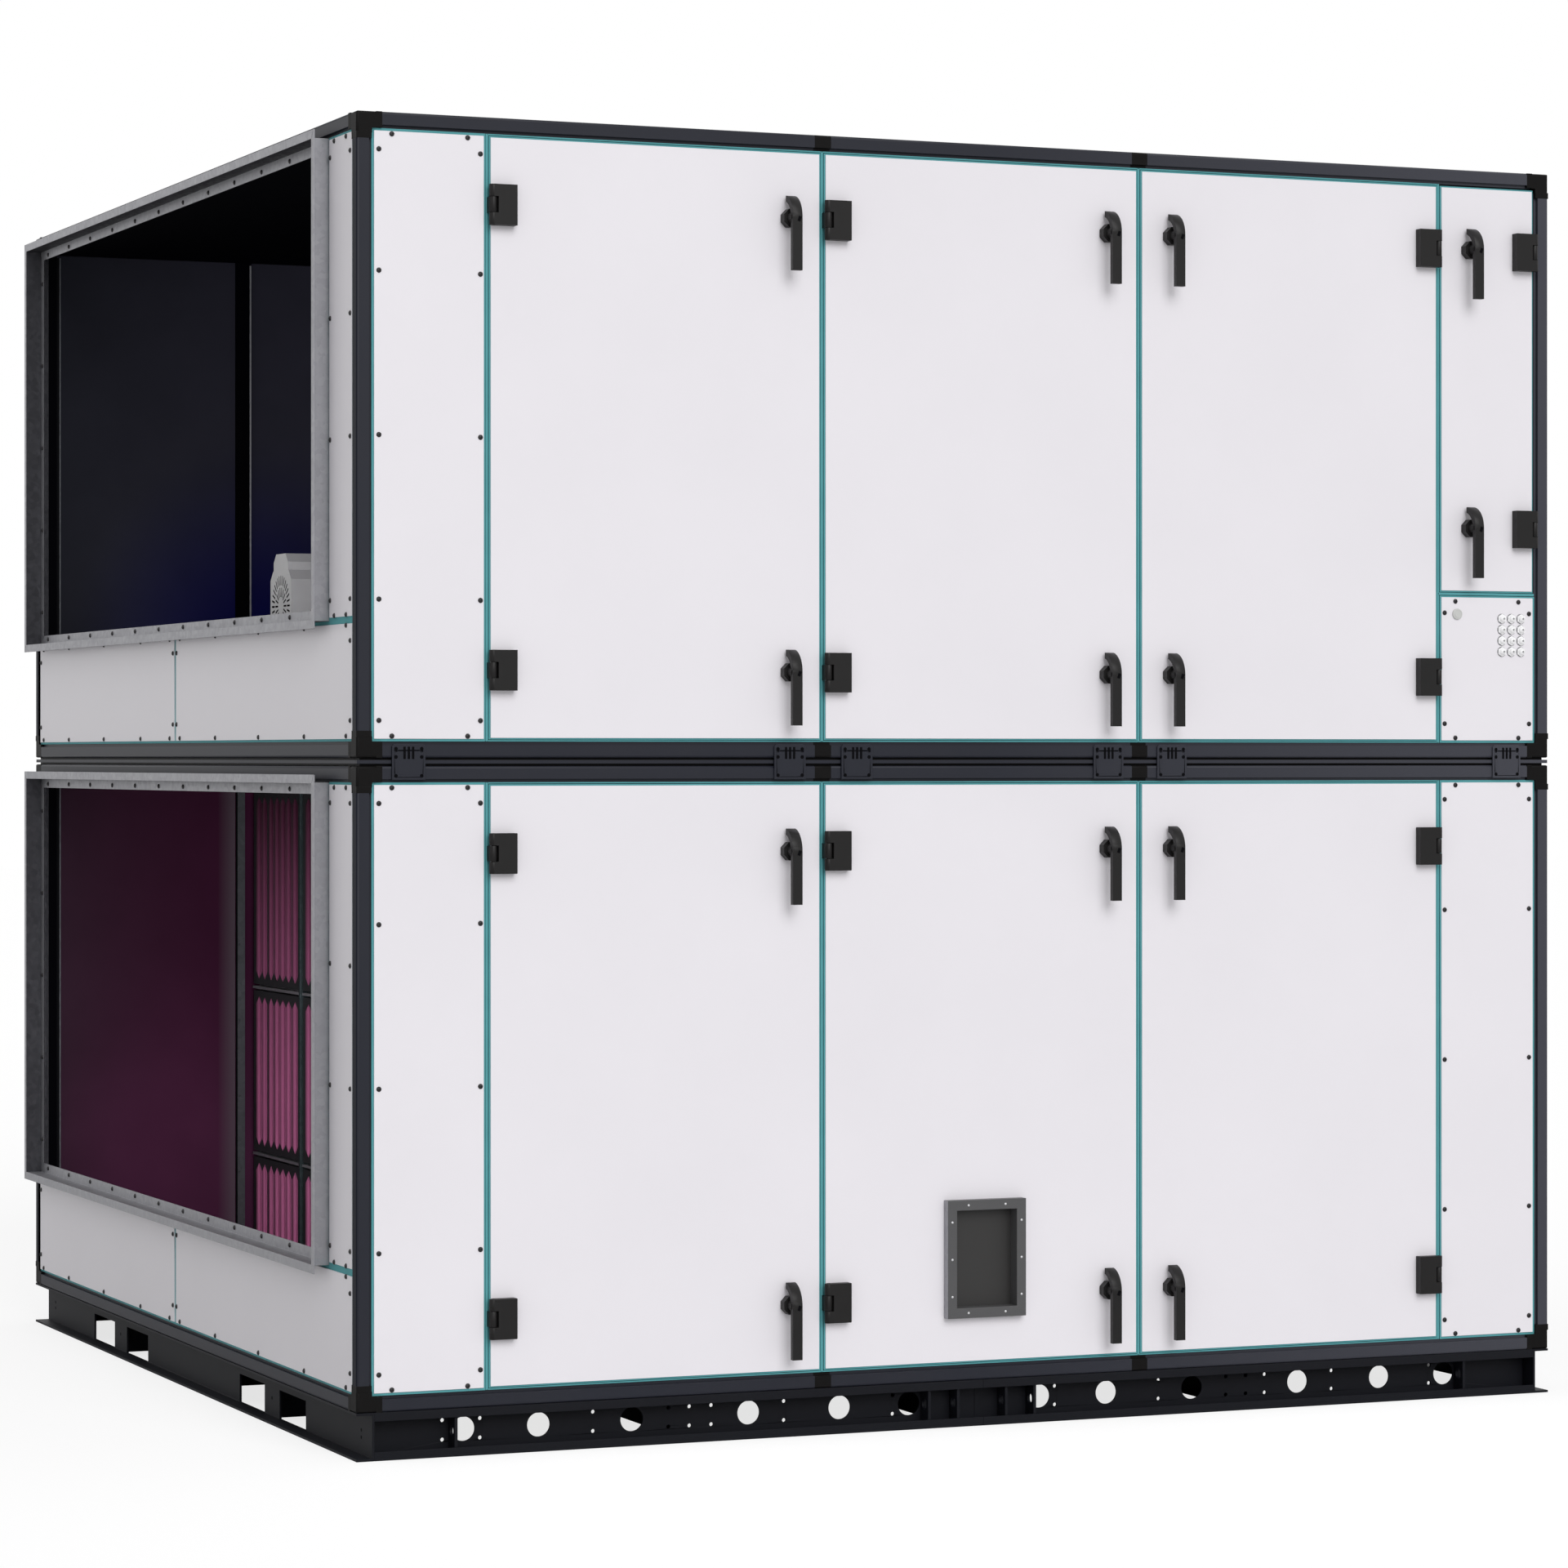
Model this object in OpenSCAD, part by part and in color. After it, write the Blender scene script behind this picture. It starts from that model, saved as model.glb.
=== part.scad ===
// Two-tier air handling unit: framed casing of insulated panels on a steel base, with hinged access doors.
// Millimetres, +Z up. The origin is on the ground under the middle of the casing; the doors face -Y.

/* [Casing] */
// Width of one access door, between gap centres
door_w = 895; // [700:1:1000]
// Width of a narrow front panel, from its corner post to the first gap centre
strip_w = 297; // [240:1:400]
// Depth of the casing, front to rear
casing_d = 3182; // [2900:1:3400]
// Height of one tier
tier_h = 1572; // [1500:1:1700]
// Height of the spacer between the tiers
spacer_h = 20; // [12:1:40]
// Setback of the spacer from the casing faces
spacer_setback = 12; // [6:1:16]
// Thickness of the insulated walls
wall_t = 52; // [48:1:60]

/* [Frame profile] */
// Width of the frame around the panel fields
profile_w = 40; // [36:1:42]
// Width of the flat face of a profile, outside its shadow groove
profile_face = 32; // [28:1:34]
// Depth of the shadow groove
groove_d = 10; // [4:1:14]
// Depth of the seat that carries the panels
seat_d = 27; // [24:1:32]
// Radius of the profile's outer edge
edge_r = 6; // [3:0.5:10]
// Width of the black joint caps on the rails
joint_cap_w = 45; // [30:1:60]
// Half width of the mullions behind the panel gaps
mullion_half = 12; // [10:1:14]
// Width of the cover flange inside a rear mullion
cover_flange_w = 50; // [40:1:60]
// Thickness of the cover flange inside a rear mullion
cover_flange_t = 6; // [3:1:8]

/* [Panels] */
// Setback of the panel faces from the profile faces
panel_setback = 3; // [1:0.5:5]
// Gap between a panel and the frame
frame_reveal = 6; // [4:0.5:8]
// Gap between a panel and a gap centre
joint_reveal = 9; // [8:0.5:11]
// Setback of the seals from the profile faces
seal_setback = 6; // [4:0.5:10]
// Running clearance of a door seal
seal_gap = 5; // [4.5:0.5:6]
// Clearance of a panel core inside the frame
core_gap = 0.5; // [0.3:0.1:1.5]
// Height of the panels under the duct openings
sill_h = 297; // [200:1:360]
// Width of the narrow panel in front of a duct opening
end_strip_w = 198; // [120:1:300]
// Distance of the sill panels' seam behind the middle of the end
sill_seam_y = 44; // [0:1:200]
// Height of the cable entry panel
cable_panel_h = 398; // [300:1:500]

/* [Doors] */
// Thickness of a door's outer tray
door_tray_t = 18; // [14:1:19]
// Inset of a door's core from its gap centres
door_core_in = 20; // [18:1:26]
// Height of a hinge and a handle axis, from the end of the door field
fitting_z = 175; // [150:1:220]
// Width of a hinge cover
hinge_w = 70; // [56:1:84]
// Height of a hinge cover
hinge_h = 100; // [80:1:120]
// Height of a hinge's middle knuckle
knuckle_h = 38; // [30:1:44]
// Radius of a hinge barrel
hinge_r = 10; // [9:0.5:11]
// Distance of a hinge pin in front of the casing
hinge_out = 12; // [11:0.5:14]
// Radius of a hinge pin
pin_r = 4; // [3:0.25:5]
// Running clearance of a pin or spindle
pin_gap = 0.06; // [0.03:0.01:0.1]
// Clearance round a hinge's middle knuckle
knuckle_gap = 1; // [0.5:0.25:2]
// Thickness of a hinge leaf
leaf_t = 2.5; // [2:0.5:3.5]
// Width of the port in the middle door
port_w = 169; // [120:1:220]
// Height of the port in the middle door
port_h = 249; // [180:1:300]
// Width of the port's flange
port_rim = 26; // [20:1:36]
// Height of the port's flange in front of the door
port_out = 25; // [15:1:32]
// Sheet thickness of the port's tray
port_t = 2.5; // [1.5:0.5:4]
// Gap between the port's tray and its door
port_gap = 0.3; // [0.2:0.1:1]
// Height of the port's centre above the bottom of its door field
port_z = 272; // [240:1:420]

/* [Handles] */
// Distance of a handle axis from the latch-side gap centre
handle_in = 92; // [80:1:120]
// Reach of a handle in front of the casing
handle_out = 55; // [48:1:60]
// Length of a lever below its axis
lever_down = 134; // [100:1:150]
// Height of a lever's curved head above its axis
lever_up = 58; // [50:1:64]
// Width of a lever
lever_w = 26; // [20:1:32]
// Thickness of a lever
lever_t = 15; // [12:1:18]
// Half width of a handle's eight-sided rosette
boss_r = 23; // [19:1:26]
// Height of a handle's rosette
boss_h = 24; // [16:1:28]
// Radius of the neck between a rosette and its lever
neck_r = 15; // [13.5:0.5:18]
// Radius of a handle's spindle
spindle_r = 8; // [6:0.5:10]
// Gap between a handle's rosette and its door
boss_gap = 0.3; // [0.2:0.1:1]

/* [Duct flanges] */
// Depth of the duct collars in front of the end walls
collar_out = 40; // [30:1:50]
// Distance of a collar from the edge of its field
collar_in = 0.5; // [0.3:0.1:4]
// Width of a collar's face lip
lip_face_w = 22; // [16:1:30]
// Width of the foot that a collar stands on
collar_foot_w = 11; // [8:0.5:11]
// Width of a collar's inner leg
inner_leg_w = 30; // [24:1:40]
// Depth of a collar's inner leg behind the wall's outer face
inner_leg_d = 10; // [6:1:16]
// Sheet thickness of the duct flanges
flange_t = 3; // [2:0.5:4]
// Gap at the mitred corners
mitre_gap = 0.3; // [0.2:0.1:0.8]

/* [Base] */
// Height of the base beams
base_h = 118; // [100:1:140]
// Thickness of the beams' steel
beam_t = 6; // [4:0.5:8]
// Height of the lips on the long beams' flanges
beam_lip = 16; // [10:1:24]
// Setback of the long beams' webs
long_setback = 55; // [45:1:65]
// Setback of the end beams' webs
end_setback = 40; // [30:1:50]
// Distance of the middle cross beams' webs from the middle
cross_web_x = 68; // [50:1:90]
// Distance of the outer cross beams from the middle
outer_cross_x = 760; // [700:1:820]
// Width of the outer cross beams
outer_cross_w = 42; // [36:1:60]
// Thickness of the ribs in the long beams
base_rib_t = 8; // [6:0.5:10]
// Radius of the hole in a base rib
base_rib_hole_r = 13; // [8:0.5:16]
// Length of the gussets behind the end beams
gusset_l = 190; // [120:1:200]
// Gap between the two halves of the base
base_joint_gap = 0.4; // [0.2:0.1:1]
// Radius of the lifting holes
lift_r = 30; // [24:1:34]
// Radius of the bolt holes in the beams
bolt_r = 5; // [4:0.5:7]
// Distance of a bolt hole above or below the middle of its beam
bolt_spread = 24; // [18:1:30]
// Width of the fork pockets
fork_w = 228; // [180:1:260]
// Top of the fork pockets above the ground
fork_top = 80; // [60:1:90]

/* [Tier brackets] */
// Width of a bracket that ties the tiers together
bracket_w = 86; // [60:1:100]
// Overlap of a bracket on each tier
bracket_lap = 34; // [28:1:38]
// Thickness of a bracket
bracket_t = 5; // [3:0.5:8]
// Distance of a bracket's middle from its module's end
bracket_in = 92; // [70:1:140]
// Radius of a bracket's bolt holes
bracket_hole_r = 4; // [3:0.25:5]
// Distance of a bracket's bolt holes from its edges
bracket_hole_in = 10; // [8:0.5:14]

/* [Filters] */
// Distance of the filter wall from the left end
filter_x = 690; // [680:1:720]
// Thickness of the filter wall
filter_wall_t = 30; // [20:1:40]
// Height of the bottom row of bag filters
bottom_row_h = 287; // [200:1:400]
// Height of the middle row of bag filters
middle_row_h = 490; // [300:1:600]
// Space between neighbouring filters
filter_space = 20; // [14:1:24]
// Space between the filters and the front and rear walls
filter_side = 19; // [17:1:40]
// Space between the filters and the floor and ceiling
filter_edge = 29.5; // [20:0.5:50]
// Width of a filter's header rim
header_rim = 22; // [16:1:28]
// Thickness of a filter's header
header_t = 25; // [18:1:28]
// Length of the filter pockets behind the header
pocket_l = 480; // [300:1:500]
// Thickness of the filter media
media_t = 3; // [2:0.5:5]
// Width of a pocket at its closed end
pocket_tip = 16; // [10:1:24]
// Gap between the mouths of neighbouring pockets
pocket_gap = 4; // [2:0.5:8]
// Clearance between the filter wall and the doors
filter_door_gap = 8; // [6:1:14]

/* [Fan motor] */
// Distance of the motor's cowl from the left end
motor_x = 291; // [200:1:500]
// Height of the motor's axis above the upper floor
motor_z = 365; // [300:1:500]
// Half width of the motor's square housing
motor_r = 98; // [80:1:120]
// Width of the bevels along the housing's corners
motor_bevel = 26; // [16:1:40]
// Length of the ribbed housing
motor_l = 230; // [180:1:300]
// Length of the fan cowl
cowl_l = 90; // [60:1:120]
// Depth of the grooves between the housing's ribs
rib_h = 10; // [6:1:14]
// Thickness of a rib
rib_t = 5; // [3:0.5:8]
// Thickness of the housing's end plate
end_plate_t = 12; // [8:1:20]
// Inner radius of the cowl's outer ring of slots
outer_slot_r = 58; // [50:1:64]
// Inner radius of the cowl's inner ring of slots
inner_slot_r = 26; // [20:1:32]
// Length of a cowl slot
slot_l = 26; // [16:1:28]
// Width of a cowl slot
slot_w = 5; // [3:0.5:6]
// Depth of a cowl slot
slot_d = 25; // [10:1:60]
// Width of the terminal box on the motor
terminal_w = 134; // [100:1:150]
// Height of the terminal box
terminal_h = 46; // [30:1:60]
// Radius of the motor's shaft
shaft_r = 14; // [10:1:19]
// Length of the motor's shaft
shaft_l = 60; // [40:1:80]
// Thickness of the motor stand's plates
stand_t = 8; // [5:1:12]
// Width of the motor stand
stand_w = 260; // [200:1:320]
// Width of the motor stand's feet
foot_w = 40; // [30:1:60]
// Gap between the motor and its stand
stand_gap = 0.3; // [0.2:0.1:0.6]

/* [Cable entries] */
// Half width of a cable gland's nut
gland_r = 11; // [8:0.5:13]
// Radius of a cable gland's dome
dome_r = 9; // [6:0.5:10]
// Spacing of the cable glands
gland_pitch = 29.5; // [26:0.5:36]
// Length of a gland in front of its panel
gland_out = 14; // [11:1:20]
// Thickness of a gland's nut
gland_nut_t = 5; // [3:0.5:7]
// Distance of the glands from the right end of their panel field
gland_side = 44; // [40:1:70]
// Distance of the glands from the top of their panel field
gland_top = 65; // [50:1:90]
// Radius of the blanking plug
plug_r = 14; // [10:1:18]
// Height of the blanking plug in front of its panel
plug_out = 4; // [2:0.5:8]
// Distance of the blanking plug from the left end of its panel field
plug_side = 56; // [40:1:80]
// Distance of the blanking plug from the top of its panel field
plug_top = 54; // [40:1:80]

/* [Hidden] */
$fn = 48;

// How a panel edge is held: in the frame, at a joint with a fixed panel, or beside a door
FRAME = 0;
JOINT = 1;
DOOR = 2;
// Which side a door hangs on
HINGE_LEFT = 1;
HINGE_RIGHT = -1;
door_hand = [HINGE_LEFT, HINGE_LEFT, HINGE_RIGHT];

casing_l = 2 * (profile_w + strip_w) + 3 * door_w;
lip_w = wall_t - profile_w;
core_in = lip_w + core_gap;
tray_back = panel_setback + door_tray_t;
lower = 0;
upper = 1;
// Places of the lifting holes along a base half, from the middle of the unit
lift_hole_x = [185, 378, 628, 943, 1190, 1387];
// Places of the bolt hole pairs along a base half, from the middle of the unit
bolt_pair_x = [230, 531, 729, 788, 845, 1046, 1343, 1441];
// Places of the ribs along a base half, from the middle of the unit
base_rib_x = [68, 149, 1422];
// Places of the fork pockets along an end, from the middle of the unit
fork_y = [570, 932];
// Places of the gussets along an end, from the middle of the unit
gusset_y = [100, 751];
filter_columns = 6;
filter_w = (casing_d - 2 * (wall_t + filter_side) - (filter_columns - 1) * filter_space) / filter_columns;
top_row_h = tier_h - 2 * (wall_t + filter_edge + filter_space) - bottom_row_h - middle_row_h;
filter_rows = [bottom_row_h, middle_row_h, top_row_h];
pockets = 6;
ribs = 9;
outer_slots = 32;
inner_slots = 18;
glands_across = 3;
glands_up = 4;
cut = 1;

white = "#e6e4e8";
teal = "#3f8488";
profile_grey = "#3a3c45";
cap_black = "#1c1a17";
plastic_black = "#2e2c2d";
zinc = "#8a8a8e";
base_grey = "#22242e";
media_pink = "#8c3a66";
motor_grey = "#a9a9ac";
port_grey = "#555555";

function tier_z(t) = base_h + t * (tier_h + spacer_h);
function field_z0(t) = tier_z(t) + profile_w;
function field_z1(t) = tier_z(t) + tier_h - profile_w;
function gap_x(i) = -casing_l / 2 + profile_w + strip_w + i * door_w;
function left_x() = -casing_l / 2 + profile_w;
function front_y() = -casing_d / 2 + profile_w;
function door_field(t, i) = [gap_x(i), gap_x(i + 1), field_z0(t), field_z1(t)];
function control_field() =
    [gap_x(3), -left_x(), cable_top(), field_z1(upper)];
function reveal(edge) = edge == FRAME ? frame_reveal : joint_reveal;
function seal_inset(edge) = edge == DOOR ? seal_gap : 0;
function rear_gap_x() = let (half = (gap_x(1) + left_x()) / 2)
    [half, gap_x(1), gap_x(2), -half];
function module_joints() = [gap_x(1), gap_x(2)];
function sum_to(list, n) = n == 0 ? 0 : list[n - 1] + sum_to(list, n - 1);

// Placing of flat panel work: x runs along the wall, y up it, z from its outer face inwards
module on_front() translate([0, -casing_d / 2, 0]) mirror([0, 1, 0]) rotate([90, 0, 0]) children();
module on_rear() translate([0, casing_d / 2, 0]) rotate([90, 0, 0]) children();
module on_left() translate([-casing_l / 2, 0, 0]) rotate([90, 0, 90]) children();
module on_right() mirror([1, 0, 0]) on_left() children();
module facing_up(z) translate([0, 0, z]) mirror([0, 0, 1]) children();
module facing_down(z) translate([0, 0, z]) children();

module both(axis) {
    children();
    mirror(axis) children();
}

module each_tier() {
    for (t = [lower, upper]) {
        translate([0, 0, tier_z(t) + tier_h / 2]) children();
    }
}

module slab(x0, x1, y0, y1, z0, z1) {
    translate([x0, y0, z0]) cube([x1 - x0, y1 - y0, z1 - z0]);
}

// Even-sided polygon with flats at a distance r from its middle
module even_polygon(sides, r) {
    polygon([
        for (i = [0:sides - 1]) let (a = (i + 0.5) * 360 / sides) r / cos(180 / sides) * [cos(a), sin(a)]
    ]);
}

// Frame profiles: a square tube with a rounded outer edge, a shadow groove and a panel seat on both faces
module rounded_square() {
    translate([edge_r, 0]) square([wall_t - edge_r, wall_t]);
    translate([0, edge_r]) square([wall_t, wall_t - edge_r]);
    translate([edge_r, edge_r]) circle(edge_r);
}

module seat_cut() {
    translate([profile_w, -cut]) square([lip_w + cut, seat_d + cut]);
    translate([profile_face, -cut]) square([profile_w - profile_face + cut, groove_d + cut]);
}

module profile_section() {
    difference() {
        rounded_square();
        seat_cut();
        mirror([1, -1, 0]) seat_cut();
    }
}

module rail_along_x(x0, x1) {
    translate([x0, -casing_d / 2, -tier_h / 2]) rotate([90, 0, 90]) {
        linear_extrude(x1 - x0) profile_section();
    }
}

module rails() {
    both([0, 0, 1]) both([0, 1, 0]) {
        rail_along_x(-casing_l / 2 + wall_t, gap_x(1) - joint_cap_w / 2);
        rail_along_x(gap_x(1) + joint_cap_w / 2, gap_x(2) - joint_cap_w / 2);
        rail_along_x(gap_x(2) + joint_cap_w / 2, casing_l / 2 - wall_t);
    }
    both([0, 0, 1]) both([1, 0, 0]) {
        translate([-casing_l / 2, casing_d / 2 - wall_t, -tier_h / 2]) rotate([90, 0, 0]) {
            linear_extrude(casing_d - 2 * wall_t) profile_section();
        }
    }
}

module lower_rails() {
    color(profile_grey) translate([0, 0, tier_z(lower) + tier_h / 2]) rails();
}

module upper_rails() {
    color(profile_grey) translate([0, 0, tier_z(upper) + tier_h / 2]) rails();
}

module frame_posts() {
    color(profile_grey) each_tier() both([1, 0, 0]) both([0, 1, 0]) {
        translate([-casing_l / 2, -casing_d / 2, -tier_h / 2 + wall_t]) {
            linear_extrude(tier_h - 2 * wall_t) profile_section();
        }
    }
}

// Moulded corner: rounded on its three outer edges, with a seat for the corner of each panel
module corner_cap() {
    difference() {
        intersection() {
            linear_extrude(wall_t) rounded_square();
            rotate([90, 0, 90]) linear_extrude(wall_t) rounded_square();
            translate([0, wall_t, 0]) rotate([90, 0, 0]) linear_extrude(wall_t) rounded_square();
        }
        for (turn = [0, 1, 2]) {
            rotate(120 * turn, [1, 1, 1]) {
                slab(profile_w, wall_t + cut, profile_w, wall_t + cut, -cut, seat_d);
            }
        }
    }
}

module corner_caps() {
    color(cap_black) each_tier() both([1, 0, 0]) both([0, 1, 0]) both([0, 0, 1]) {
        translate([-casing_l / 2, -casing_d / 2, -tier_h / 2]) corner_cap();
    }
}

module rail_joint_caps() {
    color(cap_black) each_tier() both([0, 0, 1]) both([0, 1, 0]) {
        for (x = module_joints()) {
            rail_along_x(x - joint_cap_w / 2, x + joint_cap_w / 2);
        }
    }
}

// Mullions and transoms lie behind the gaps between panels, flush with the seats of the frame
module mullion(x, y0, y1) {
    slab(x - mullion_half, x + mullion_half, y0, y1, seat_d, wall_t);
}

module rear_mullion(x, y0, y1) {
    mullion(x, y0, y1);
    slab(x - cover_flange_w / 2, x + cover_flange_w / 2, y0, y1, wall_t, wall_t + cover_flange_t);
}

module end_mullions(t) {
    sill = field_z0(t) + sill_h;
    strip_y = front_y() + end_strip_w;
    mullion(strip_y, sill + mullion_half, field_z1(t) - lip_w);
    slab(front_y() + lip_w, -front_y() - lip_w, sill - mullion_half, sill + mullion_half, seat_d, wall_t);
    mullion(sill_seam_y, field_z0(t) + lip_w, sill - mullion_half);
}

module mullions() {
    color(profile_grey) {
        for (t = [lower, upper]) {
            z0 = field_z0(t) + lip_w;
            z1 = field_z1(t) - lip_w;
            on_front() {
                for (i = [0:3]) {
                    mullion(gap_x(i), z0, z1);
                }
            }
            on_rear() {
                for (x = rear_gap_x()) {
                    rear_mullion(x, z0, z1);
                }
            }
            on_left() end_mullions(t);
            on_right() end_mullions(t);
            for (x = module_joints()) {
                facing_down(tier_z(t)) mullion(x, front_y() + lip_w, -front_y() - lip_w);
                facing_up(tier_z(t) + tier_h) mullion(x, front_y() + lip_w, -front_y() - lip_w);
            }
        }
        on_front() {
            slab(
                gap_x(3) + mullion_half, -left_x() - lip_w,
                cable_top() - mullion_half, cable_top() + mullion_half, seat_d, wall_t
            );
        }
    }
}

module tier_spacer() {
    z0 = tier_z(lower) + tier_h;
    color(cap_black) {
        both([0, 1, 0]) {
            slab(
                -casing_l / 2 + spacer_setback, casing_l / 2 - spacer_setback,
                -casing_d / 2 + spacer_setback, -casing_d / 2 + wall_t, z0, z0 + spacer_h
            );
        }
        both([1, 0, 0]) {
            slab(
                -casing_l / 2 + spacer_setback, -casing_l / 2 + wall_t,
                -casing_d / 2 + wall_t + mitre_gap, casing_d / 2 - wall_t - mitre_gap, z0, z0 + spacer_h
            );
        }
    }
}

// Brackets beside every module joint and corner, bolted to the rails of both tiers
module tier_brackets() {
    z0 = tier_z(lower) + tier_h - bracket_lap;
    ends = [left_x() + bracket_in, gap_x(1) - bracket_in, gap_x(1) + bracket_in];
    color(profile_grey) both([0, 1, 0]) both([1, 0, 0]) {
        for (x = ends) {
            translate([x, -casing_d / 2, z0]) rotate([90, 0, 0]) {
                linear_extrude(bracket_t) bracket_outline();
            }
        }
    }
}

module bracket_outline() {
    h = spacer_h + 2 * bracket_lap;
    bevel = edge_r;
    difference() {
        polygon([
            [-bracket_w / 2, 0], [bracket_w / 2, 0], [bracket_w / 2, h - bevel],
            [bracket_w / 2 - bevel, h], [-bracket_w / 2 + bevel, h], [-bracket_w / 2, h - bevel]
        ]);
        for (side = [-1, 1]) {
            for (y = [bracket_hole_in, h - bracket_lap / 2]) {
                translate([side * (bracket_w / 2 - bracket_hole_in), y]) circle(bracket_hole_r);
            }
        }
    }
}

// Fixed panels: a tray that lies on the seats and a core that fills the wall; field is [x0, x1, y0, y1]
module fixed_panel(field, edges) {
    slab(
        field[0] + reveal(edges[0]), field[1] - reveal(edges[1]),
        field[2] + reveal(edges[2]), field[3] - reveal(edges[3]), panel_setback, seat_d
    );
    slab(
        field[0] + core_in, field[1] - core_in,
        field[2] + core_in, field[3] - core_in, seat_d - cut, wall_t
    );
}

module panel_seal(field, edges) {
    difference() {
        slab(
            field[0] + seal_inset(edges[0]), field[1] - seal_inset(edges[1]),
            field[2] + seal_inset(edges[2]), field[3] - seal_inset(edges[3]), seal_setback, seat_d
        );
        slab(
            field[0] + reveal(edges[0]), field[1] - reveal(edges[1]),
            field[2] + reveal(edges[2]), field[3] - reveal(edges[3]), 0, wall_t
        );
    }
}

// Each group of panels has one layout, which makes either its panels or their seals
module horizontal_layout(seal) {
    y0 = front_y();
    panel_or_seal(seal, [left_x(), gap_x(1), y0, -y0], [FRAME, JOINT, FRAME, FRAME]);
    panel_or_seal(seal, [gap_x(1), gap_x(2), y0, -y0], [JOINT, JOINT, FRAME, FRAME]);
    panel_or_seal(seal, [gap_x(2), -left_x(), y0, -y0], [JOINT, FRAME, FRAME, FRAME]);
}

module rear_layout(seal) {
    lines = concat([left_x()], rear_gap_x(), [-left_x()]);
    last = len(lines) - 2;
    for (t = [lower, upper]) {
        for (i = [0:last]) {
            edges = [i == 0 ? FRAME : JOINT, i == last ? FRAME : JOINT, FRAME, FRAME];
            panel_or_seal(seal, [lines[i], lines[i + 1], field_z0(t), field_z1(t)], edges);
        }
    }
}

module end_layout(seal) {
    y0 = front_y();
    for (t = [lower, upper]) {
        sill = field_z0(t) + sill_h;
        panel_or_seal(seal, [y0, y0 + end_strip_w, sill, field_z1(t)], [FRAME, JOINT, JOINT, FRAME]);
        panel_or_seal(seal, [y0, sill_seam_y, field_z0(t), sill], [FRAME, JOINT, FRAME, JOINT]);
        panel_or_seal(seal, [sill_seam_y, -y0, field_z0(t), sill], [JOINT, FRAME, FRAME, JOINT]);
    }
}

module front_strip_layout(seal) {
    for (t = [lower, upper]) {
        panel_or_seal(seal, [left_x(), gap_x(0), field_z0(t), field_z1(t)], [FRAME, DOOR, FRAME, FRAME]);
    }
    panel_or_seal(seal, [gap_x(3), -left_x(), field_z0(lower), field_z1(lower)], [DOOR, FRAME, FRAME, FRAME]);
}

module cable_panel_layout(seal) {
    panel_or_seal(seal, [gap_x(3), -left_x(), field_z0(upper), cable_top()], [DOOR, FRAME, FRAME, DOOR]);
}

module panel_or_seal(seal, field, edges) {
    if (seal) {
        panel_seal(field, edges);
    } else {
        fixed_panel(field, edges);
    }
}

module lower_floor() { color(white) facing_down(tier_z(lower)) horizontal_layout(false); }
module lower_ceiling() { color(white) facing_up(tier_z(lower) + tier_h) horizontal_layout(false); }
module upper_floor() { color(white) facing_down(tier_z(upper)) horizontal_layout(false); }
module roof() { color(white) facing_up(tier_z(upper) + tier_h) horizontal_layout(false); }
module rear_panels() { color(white) on_rear() rear_layout(false); }
module front_strip_panels() { color(white) on_front() front_strip_layout(false); }
module left_end_panels() { color(white) on_left() end_layout(false); }
module right_end_panels() { color(white) on_right() end_layout(false); }

module panel_seals() {
    color(teal) {
        facing_down(tier_z(lower)) horizontal_layout(true);
        facing_up(tier_z(upper) + tier_h) horizontal_layout(true);
        on_rear() rear_layout(true);
        on_left() end_layout(true);
        on_right() end_layout(true);
        on_front() {
            front_strip_layout(true);
            cable_panel_layout(true);
            for (i = [0:2]) {
                door_seal(door_field(upper, i));
            }
            door_seal(control_field());
        }
    }
}

// Duct flanges: a collar with a lip turned outwards, an inner leg and a foot, mitred at its corners
module flange_section() {
    translate([collar_in, -collar_out]) square([flange_t, collar_out + seat_d]);
    translate([collar_in + flange_t - lip_face_w, -collar_out]) square([lip_face_w, flange_t]);
    translate([collar_in, inner_leg_d - flange_t]) square([inner_leg_w, flange_t]);
    translate([collar_in, seat_d - flange_t]) square([collar_foot_w, flange_t]);
}

module flange_bar(l) {
    inner = collar_in + inner_leg_w + cut;
    intersection() {
        translate([-lip_face_w, 0, 0]) rotate([90, 0, 90]) {
            linear_extrude(l + 2 * lip_face_w) flange_section();
        }
        translate([0, 0, -collar_out - cut]) linear_extrude(collar_out + wall_t) {
            polygon([
                [mitre_gap - lip_face_w, -lip_face_w], [l + lip_face_w - mitre_gap, -lip_face_w],
                [l - mitre_gap - inner, inner], [mitre_gap + inner, inner]
            ]);
        }
    }
}

module duct_flange(y0, y1, z0, z1) {
    w = y1 - y0;
    h = z1 - z0;
    translate([(y0 + y1) / 2, (z0 + z1) / 2, 0]) {
        both([0, 1, 0]) translate([-w / 2, -h / 2, 0]) flange_bar(w);
        both([1, 0, 0]) translate([-w / 2, h / 2, 0]) rotate([0, 0, -90]) flange_bar(h);
    }
}

module duct_flanges() {
    for (t = [lower, upper]) {
        duct_flange(front_y() + end_strip_w, -front_y(), field_z0(t) + sill_h, field_z1(t));
    }
}

module left_duct_flanges() { color(zinc) on_left() duct_flanges(); }
module right_duct_flanges() { color(zinc) on_right() duct_flanges(); }

// Base: two half frames of channel, open outwards, bolted together under the middle of the unit
module channel(w, l) {
    linear_extrude(l) difference() {
        square([w, base_h]);
        translate([-cut, beam_t]) square([w - beam_t + cut, base_h - 2 * beam_t]);
    }
}

module lipped_channel(w, l) {
    channel(w, l);
    linear_extrude(l) {
        for (y = [beam_t, base_h - beam_t - beam_lip]) {
            translate([0, y]) square([beam_t, beam_lip]);
        }
    }
}

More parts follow.
